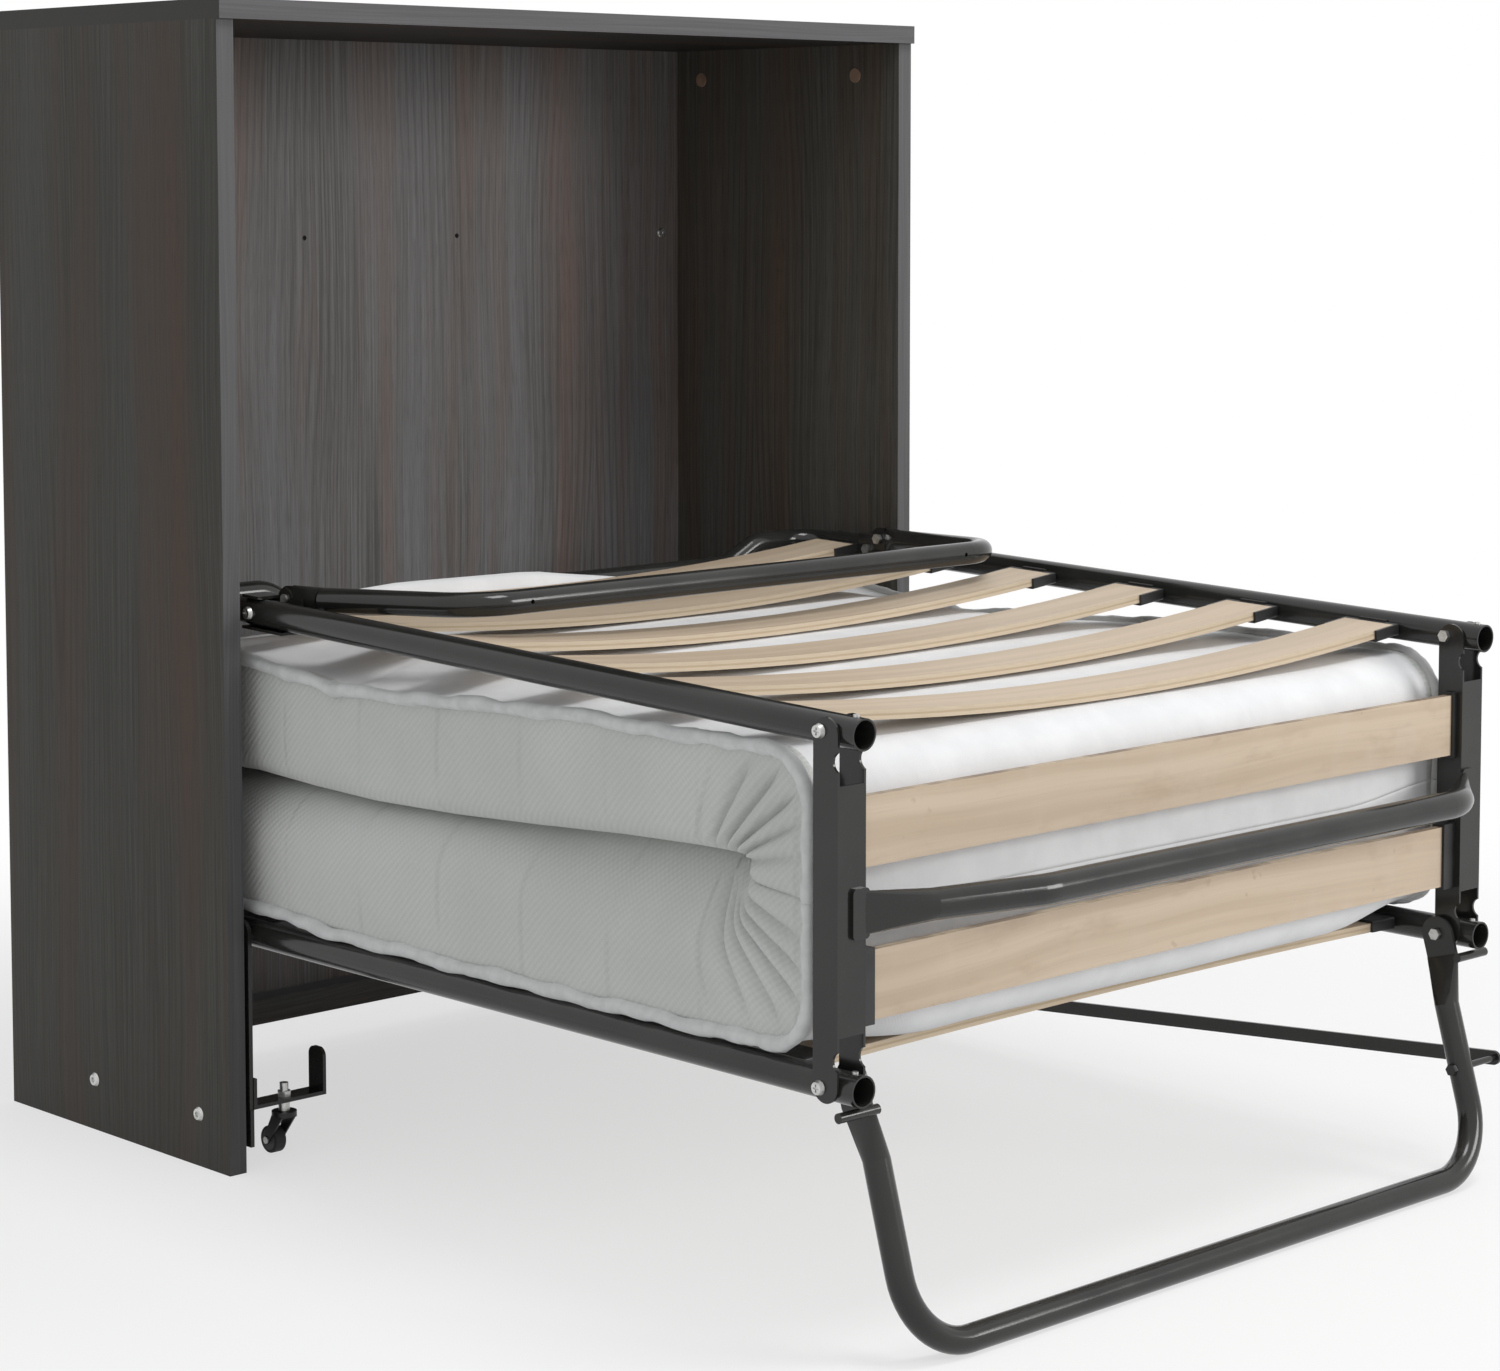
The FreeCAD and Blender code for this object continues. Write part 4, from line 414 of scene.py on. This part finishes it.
# inside of the bend on the side border and along the middle
IN_SIDE = bend(
    [(REAR_LOW, 0.3465), (0.231, 0.3480), (0.098, 0.3500), (-0.020, 0.3520), (-0.075, 0.3490), (-0.172, 0.3400),
     (-0.275, 0.3330), (TURN_IN, 0.3290)],
    [(TURN_IN, 0.3290), (-0.373, 0.3282), (-0.394, 0.3310), (-0.4035, 0.3390), (-0.4065, 0.3500),
     (-0.4085, 0.3620), (-0.4070, 0.3700), (-0.395, 0.3722), (TURN_IN, 0.3715)],
    [(TURN_IN, 0.3715), (-0.256, 0.3680), (-0.147, 0.3610), (-0.042, 0.3555), (0.069, 0.3530), (0.156, 0.3555),
     (0.242, 0.3600), (REAR_HIGH, 0.3560)])
IN_MID = bend(
    [(REAR_LOW, 0.3495), (0.05, 0.3500), (TURN_IN, 0.3670)],
    [(TURN_IN, 0.3670), (-0.384, 0.3684), (-0.386, 0.3690), (-0.384, 0.3696), (TURN_IN, 0.3682)],
    [(TURN_IN, 0.3682), (0.05, 0.3512), (REAR_HIGH, 0.3507)])

COUNT = len(OUT_SIDE)
SEAM = FLAT_COUNT - 1 + TURN_COUNT // 2
# only the loops after this one can lie under the upper slats
UNDER_SLATS = FLAT_COUNT + TURN_COUNT - 40
# creases of the border where it is gathered round the fold, as places along the bend
CREASES = FLAT_COUNT - 1 + TURN_COUNT * np.array(
    [0.03, 0.14, 0.225, 0.295, 0.355, 0.42, 0.50, 0.58, 0.645, 0.705, 0.770, 0.850, 0.945])
CREASE_DEPTH = 0.0135

# the tail swells up between the last slat and the tube behind it: from y to y, and how high at which x
RISE_FRONT, RISE_BACK = 0.2925, 0.3160
RISE_X = (-0.273, -0.245, -0.175, -0.010, 0.030, 0.100, 0.160)
RISE_Z = (0.470, 0.5045, 0.5085, 0.5065, 0.5010, 0.4925, 0.4780)

# what a point of a loop belongs to, and the order of the fabrics in the mesh
BORDER_POINT, OUTER_POINT, INNER_POINT = 0, 1, 2
BORDER, COVER, PIPING = 0, 1, 2

# x at which the middle's curve starts to turn into the side's, and over how much, outside and inside
OUT_FROM, OUT_OVER = 0.250, 0.145
IN_FROM, IN_OVER = 0.335, 0.065
# radius of the border's edge at the piping, and on the inside of the fold in the lower half. In the
# upper half the inside edge is tighter, and it changes over some loops of the turn.
EDGE_OUT, EDGE_IN, EDGE_TIGHTER = 0.007, 0.046, 0.028
TIGHTER_FROM, TIGHTER_OVER = FLAT_COUNT + 20, 45.0
# how far inward from the side the cover starts, and the x beyond which the border wraps onto the inside
COVER_INSET, BORDER_WRAP = 0.016, 0.325
# how far the border bulges at most, how far it stands back, the scale of the cover's hollows, and the
# gap that is left under the slats
BULGE, SET_BACK, HOLLOW, CLEAR_OF_SLATS = 0.0050, 0.003, 0.0016, 0.0015
# radius of the rounded back end, and about half the end's height
REAR_ROUND, REAR_HALF_HEIGHT = 0.016, 0.058
PIPING_RADIUS, PIPING_SIDES = 0.0062, 8
# how far the piping lies in from the side and from the outer face, and how much more it stands out below
PIPING_IN, PIPING_SUNK, PIPING_OUT_LOW = 0.0018, 0.0015, 0.0016
# seeds of the uneven cloth, and of the piping's wander outwards, sideways and in thickness
BULGE_SEED, HOLLOW_SEED, PATCH_SEED, LIFT_SEED, SWAY_SEED, GIRTH_SEED = 3, 5, 8, 21, 22, 23


def slat_floor(x, y):
    """Height of the underside of the upper slats."""
    middle = UPPER_SLATS["start_z"] + UPPER_SLATS["bow"]
    line = middle + (y - UPPER_SLATS["start_y"]) * UPPER_SLATS["slope"]
    return line - UPPER_SLATS["bow"] * (x / SLAT_HALF) ** 2


def place(index, x, depth):
    """Points (n, 3) of one loop, for arrays of x and depth."""
    ax = np.abs(x)
    w_out = smooth((ax - OUT_FROM) / OUT_OVER)[:, None]
    w_in = smooth((ax - IN_FROM) / IN_OVER)[:, None]
    outer = OUT_MID[index] * (1.0 - w_out) + OUT_SIDE[index] * w_out
    inner = IN_MID[index] * (1.0 - w_in) + IN_SIDE[index] * w_in
    return np.concatenate([x[:, None], inner + (outer - inner) * depth[:, None]], 1)


def flat_x(edge):
    """The x of the points across a large face, closer together towards its two edges."""
    outer = np.linspace(0.30, edge, 14)
    return np.concatenate([-outer[::-1], np.linspace(-0.28, 0.28, 23), outer])


def rib(index):
    """Closed loop round the sheet at one place along the bend: x, depth and kind of each point."""
    thick = float(np.linalg.norm(OUT_SIDE[index] - IN_SIDE[index]))
    edge_in = EDGE_IN - EDGE_TIGHTER * smooth((index - TIGHTER_FROM) / TIGHTER_OVER)
    low, high = edge_in / thick, 1.0 - EDGE_OUT / thick
    side = []
    for a in np.radians(np.linspace(90, 0, 6)[1:]):
        side.append((HALF - EDGE_OUT + EDGE_OUT * math.cos(a), 1.0 - EDGE_OUT / thick * (1.0 - math.sin(a))))
    for t in np.linspace(0, 1, 20)[1:-1]:
        side.append((HALF, high + (low - high) * t))
    for a in np.radians(np.linspace(0, -90, 9)[:-1]):
        side.append((HALF - edge_in + edge_in * math.cos(a), low * (1.0 + math.sin(a))))

    loop = [(x, 1.0, OUTER_POINT) for x in flat_x(HALF - COVER_INSET)]
    loop += [(x, d, BORDER_POINT) for x, d in side]
    loop += [(x, 0.0, BORDER_POINT if abs(x) > BORDER_WRAP else INNER_POINT)
             for x in flat_x(HALF - edge_in - 0.002)[::-1]]
    loop += [(-x, d, BORDER_POINT) for x, d in side[::-1]]
    return np.array(loop).T


def gather(index, depth):
    """How far the border is drawn in at the pleats round the fold, in metres."""
    if index < CREASES[0] or index > CREASES[-1]:
        return np.zeros_like(depth)
    phase = np.interp(index, CREASES, np.arange(len(CREASES)))
    puff = np.abs(np.sin(math.pi * phase)) ** 0.68
    reach = np.interp(phase, [0, 1, 3, 5, 6, 7, 9, 11, 12], [0.2, 0.8, 1.0, 0.8, 0.45, 0.7, 1.0, 1.0, 0.2])
    near = smooth(depth / 0.05) * (1.0 - smooth((depth - 0.62) / 0.38))
    return CREASE_DEPTH * reach * near * (1.0 - puff)


def loop_points(index):
    """The loop at one place along the bend, with the bulge, pleats and slack of real cloth."""
    xs, ds, kinds = rib(index)
    pts = place(index, xs, ds)
    side = (kinds == BORDER_POINT) & (np.abs(xs) > HALF - EDGE_IN - 0.001)
    bulge = BULGE * np.clip(4.0 * ds * (1.0 - ds), 0.0, 1.0)
    bulge = bulge * (0.75 + 0.25 * wave(BULGE_SEED, np.full(len(xs), index * 0.01), 3.0))
    pts[:, 0] += np.where(side, np.sign(pts[:, 0]) * (bulge - SET_BACK - gather(index, ds)), 0.0)

    # slack cloth: shallow hollows on the large faces, never outwards
    big = kinds == OUTER_POINT
    hollow = HOLLOW * (1.0 + wave(HOLLOW_SEED, pts[:, 0] * 9.0 + index * 0.02, 1.0))
    hollow = hollow * (0.5 + 0.5 * wave(PATCH_SEED, index * 0.045 + pts[:, 0] * 2.0, 1.0)) ** 2
    hollow = hollow * smooth((abs(index - SEAM) - 2) / 14.0)
    pull = (OUT_MID[index] + IN_MID[index]) / 2 - pts[:, 1:]
    pull /= np.maximum(np.linalg.norm(pull, axis=1), 1e-6)[:, None]
    pts[:, 1:] += np.where(big, hollow, 0.0)[:, None] * pull

    if index > UNDER_SLATS:
        roof = slat_floor(pts[:, 0], pts[:, 1]) - CLEAR_OF_SLATS
        pts[:, 2] = np.where(big, np.minimum(pts[:, 2], roof), pts[:, 2])
        ahead = np.clip((pts[:, 1] - RISE_FRONT) / (RISE_BACK - RISE_FRONT), 0.0, 1.0)
        crest = np.interp(pts[:, 0], RISE_X, RISE_Z) - pts[:, 2]
        pts[:, 2] += np.where(big, np.sin(math.pi * ahead) ** 0.4 * np.maximum(crest, 0.0), 0.0)
    return pts


def rounded_end(loop):
    """Loops that close the back of the mattress with a soft edge, from the given loop outwards."""
    middle = loop.mean(axis=0)
    loops = []
    for a in np.radians((25, 48, 68, 82, 90)):
        drawn_in = REAR_ROUND * (1.0 - math.cos(a))
        ring = loop.copy()
        ring[:, 0] = loop[:, 0] * (1.0 - drawn_in / HALF)
        ring[:, 2] = middle[2] + (loop[:, 2] - middle[2]) * (1.0 - drawn_in / REAR_HALF_HEIGHT)
        ring[:, 1] = loop[:, 1] + REAR_ROUND * (math.sin(a) - 1.0)
        loops.append(ring)
    return loops


def piping_path(sign, first, last, rear):
    """Places and radii (n, 4) of the piping on one side border, with the wander of a sewn cord."""
    path = []
    for index in range(first, last + 1, 2):
        y, z = OUT_SIDE[index]
        outward = OUT_SIDE[index] - IN_SIDE[index]
        outward = outward / np.linalg.norm(outward)
        t = index * 0.02 + (0.0 if sign < 0 else 40.0)
        flat_part = 1.0 - smooth((90 - abs(index - SEAM)) / 30.0)
        lift = 0.0020 * wave(LIFT_SEED, t, 7.0) + (PIPING_OUT_LOW if index < SEAM else 0.0)
        lift = lift * flat_part - PIPING_SUNK
        x = sign * (HALF - PIPING_IN + 0.0016 * wave(SWAY_SEED, t, 7.0) * flat_part)
        radius = PIPING_RADIUS + 0.0012 * wave(GIRTH_SEED, t, 14.0)
        path.append((x, y + outward[0] * lift, z + outward[1] * lift, radius))
    path = np.array(path)
    return path[path[:, 1] < rear - 0.006]


def skin(rings, count, start, fabric_of, end_fabric):
    """Faces and their fabrics for a closed tube of rings with count points each, from vertex start on."""
    faces, mats = [], []
    for i in range(rings - 1):
        a, b = start + i * count, start + (i + 1) * count
        for j in range(count):
            k = (j + 1) % count
            faces.append((a + j, a + k, b + k, b + j))
            mats.append(fabric_of(j, k))
    faces.append(tuple(start + j for j in range(count))[::-1])
    faces.append(tuple(start + (rings - 1) * count + j for j in range(count)))
    return faces, mats + [end_fabric] * 2


def sheet_piece(name, first, last, rear):
    """Half of the mattress, from the loop first to the loop last, with its back end at rear."""
    loops = [loop_points(index) for index in range(first, last + 1)]
    kept = [p for p in loops if p[:, 1].max() < rear - REAR_ROUND - 0.001]
    if first == 0:
        loops = rounded_end(loops[0])[::-1] + kept
    else:
        loops = kept + rounded_end(loops[-1])
    verts = np.concatenate(loops)
    on_border = rib(first)[2] == BORDER_POINT
    faces, mats = skin(len(loops), len(on_border), 0,
                       lambda j, k: BORDER if on_border[j] or on_border[k] else COVER, COVER)

    across = np.array([1.0, 0.0, 0.0])
    angles = 2 * math.pi * np.arange(PIPING_SIDES) / PIPING_SIDES
    for sign in (-1.0, 1.0):
        path = piping_path(sign, first, last, rear)
        along = np.gradient(path[:, :3], axis=0)
        up = np.cross(along, across)
        up /= np.linalg.norm(up, axis=1)[:, None]
        turns = np.cos(angles)[None, :, None] * across + np.sin(angles)[None, :, None] * up[:, None, :]
        rings = path[:, None, :3] + path[:, None, 3:] * turns
        more_faces, more_mats = skin(len(path), PIPING_SIDES, len(verts), lambda j, k: PIPING, PIPING)
        faces += more_faces
        mats += more_mats
        verts = np.concatenate([verts, rings.reshape(-1, 3)])

    mesh = bpy.data.meshes.new(name)
    mesh.from_pydata(verts.tolist(), [], faces)
    mesh.polygons.foreach_set("material_index", mats)
    mesh.polygons.foreach_set("use_smooth", [True] * len(faces))
    mesh.validate()
    mesh.update()
    piece = bpy.data.objects.new(name, mesh)
    scene.collection.objects.link(piece)
    return piece


fabrics = [border_fabric(), cover_fabric(), piping_fabric()]
low_piece = sheet_piece("mattress_low_half", 0, SEAM, REAR_LOW)
high_piece = sheet_piece("mattress_high_half", SEAM, COUNT - 1, REAR_HIGH)
for piece in (low_piece, high_piece):
    for fabric in fabrics:
        piece.data.materials.append(fabric)
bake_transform(low_piece)
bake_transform(high_piece)
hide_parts("mattress_lower", "mattress_fold")
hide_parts("mattress_upper")


# ---------------------------------------------------------------- floor, light and camera
def background_rays(tree):
    """1 for the rays that see the pale background, in the picture, in a mirror and through glass."""
    path = tree.nodes.new("ShaderNodeLightPath")
    total = path.outputs["Is Camera Ray"]
    for kind in ("Is Glossy Ray", "Is Transmission Ray"):
        either = tree.nodes.new("ShaderNodeMath")
        either.operation = "MAXIMUM"
        tree.links.new(total, either.inputs[0])
        tree.links.new(path.outputs[kind], either.inputs[1])
        total = either.outputs[0]
    return total


def mixed(tree, factor, first, second):
    node = tree.nodes.new("ShaderNodeMixShader")
    for socket, value in zip(node.inputs, (factor, first, second)):
        tree.links.new(value, socket)
    return node.outputs[0]


FLOOR_HALF = 9.0
# distances from the object between which the floor seen fades from its shadow to plain white
FADE_FROM, FADE_TO = 0.75, 1.9
WHITE_NEAR = 0.62


def build_floor():
    mesh = bpy.data.meshes.new("studio_floor")
    corners = [(sx * FLOOR_HALF, sy * FLOOR_HALF, 0) for sx, sy in ((-1, -1), (1, -1), (1, 1), (-1, 1))]
    mesh.from_pydata(corners, [], [(0, 1, 2, 3)])
    floor = bpy.data.objects.new("studio_floor", mesh)
    scene.collection.objects.link(floor)
    mat = bpy.data.materials.new("studio_floor")
    mat.use_nodes = True
    tree = mat.node_tree
    shader = tree.nodes["Principled BSDF"]
    shader.inputs["Base Color"].default_value = (0.72, 0.72, 0.72, 1.0)
    shader.inputs["Roughness"].default_value = 0.9
    shader.inputs["Specular IOR Level"].default_value = 0.1
    shaded = tree.nodes.new("ShaderNodeBsdfDiffuse")
    shaded.inputs["Color"].default_value = (0.93, 0.93, 0.93, 1.0)
    white = tree.nodes.new("ShaderNodeEmission")
    coords = tree.nodes.new("ShaderNodeTexCoord")
    length = tree.nodes.new("ShaderNodeVectorMath")
    length.operation = "LENGTH"
    fade = tree.nodes.new("ShaderNodeMapRange")
    fade.interpolation_type = "SMOOTHSTEP"
    fade.inputs["From Min"].default_value, fade.inputs["From Max"].default_value = FADE_FROM, FADE_TO
    fade.inputs["To Min"].default_value = WHITE_NEAR
    tree.links.new(coords.outputs["Object"], length.inputs[0])
    tree.links.new(length.outputs["Value"], fade.inputs["Value"])
    seen = mixed(tree, fade.outputs[0], shaded.outputs[0], white.outputs[0])
    surface = mixed(tree, background_rays(tree), shader.outputs[0], seen)
    tree.links.new(surface, tree.nodes["Material Output"].inputs["Surface"])
    mesh.materials.append(mat)


def build_world():
    world = bpy.data.worlds.new("studio")
    scene.world = world
    world.use_nodes = True
    tree = world.node_tree
    tree.nodes.clear()
    out = tree.nodes.new("ShaderNodeOutputWorld")
    seen, light = tree.nodes.new("ShaderNodeBackground"), tree.nodes.new("ShaderNodeBackground")
    seen.inputs["Color"].default_value, seen.inputs["Strength"].default_value = (1, 1, 1, 1), 1.0
    light.inputs["Color"].default_value, light.inputs["Strength"].default_value = (0.98, 0.99, 1.0, 1), 0.54
    tree.links.new(mixed(tree, background_rays(tree), light.outputs[0], seen.outputs[0]), out.inputs["Surface"])


def lamp(name, place_at, aim, size, power, colour=(1.0, 1.0, 1.0)):
    data = bpy.data.lights.new(name, "AREA")
    data.shape = "RECTANGLE"
    data.size, data.size_y = size
    data.energy = power
    data.color = colour
    obj = bpy.data.objects.new(name, data)
    obj.location = place_at
    obj.rotation_euler = (Vector(aim) - Vector(place_at)).to_track_quat("-Z", "Y").to_euler()
    scene.collection.objects.link(obj)


# the camera fitted to the cabinet's straight edges in the photograph: its place, its yaw, pitch and
# roll in degrees, its lens in millimetres and its shift
CAMERA_AT = (-2.2380, -2.3520, 0.8934)
CAMERA_TURN = (43.5096, 4.5948, -0.0269)
CAMERA_LENS, CAMERA_SENSOR = 84.646, 36.0
CAMERA_SHIFT = (0.0031, -0.15)


def build_camera():
    yaw, pitch, roll = (math.radians(a) for a in CAMERA_TURN)
    ahead = Vector((math.sin(yaw) * math.cos(pitch), math.cos(yaw) * math.cos(pitch), -math.sin(pitch)))
    right = Vector((math.cos(yaw), -math.sin(yaw), 0.0))
    up = right.cross(ahead)
    right, up = right * math.cos(roll) + up * math.sin(roll), up * math.cos(roll) - right * math.sin(roll)
    data = bpy.data.cameras.new("camera")
    data.lens, data.sensor_width = CAMERA_LENS, CAMERA_SENSOR
    data.shift_x, data.shift_y = CAMERA_SHIFT
    camera = bpy.data.objects.new("camera", data)
    rows = [(right[i], up[i], -ahead[i], CAMERA_AT[i]) for i in range(3)]
    camera.matrix_world = Matrix((*rows, (0.0, 0.0, 0.0, 1.0)))
    scene.collection.objects.link(camera)
    scene.camera = camera


scene.view_settings.view_transform = "Standard"
build_floor()
build_world()
lamp("front_key", (2.0, -3.5, 1.6), (0.0, 0.0, 0.55), (1.5, 1.25), 60.0, (1.0, 0.99, 0.98))
lamp("top_fill", (0.2, -1.2, 3.3), (0.0, 0.0, 0.4), (1.2, 1.0), 34.0)
build_camera()
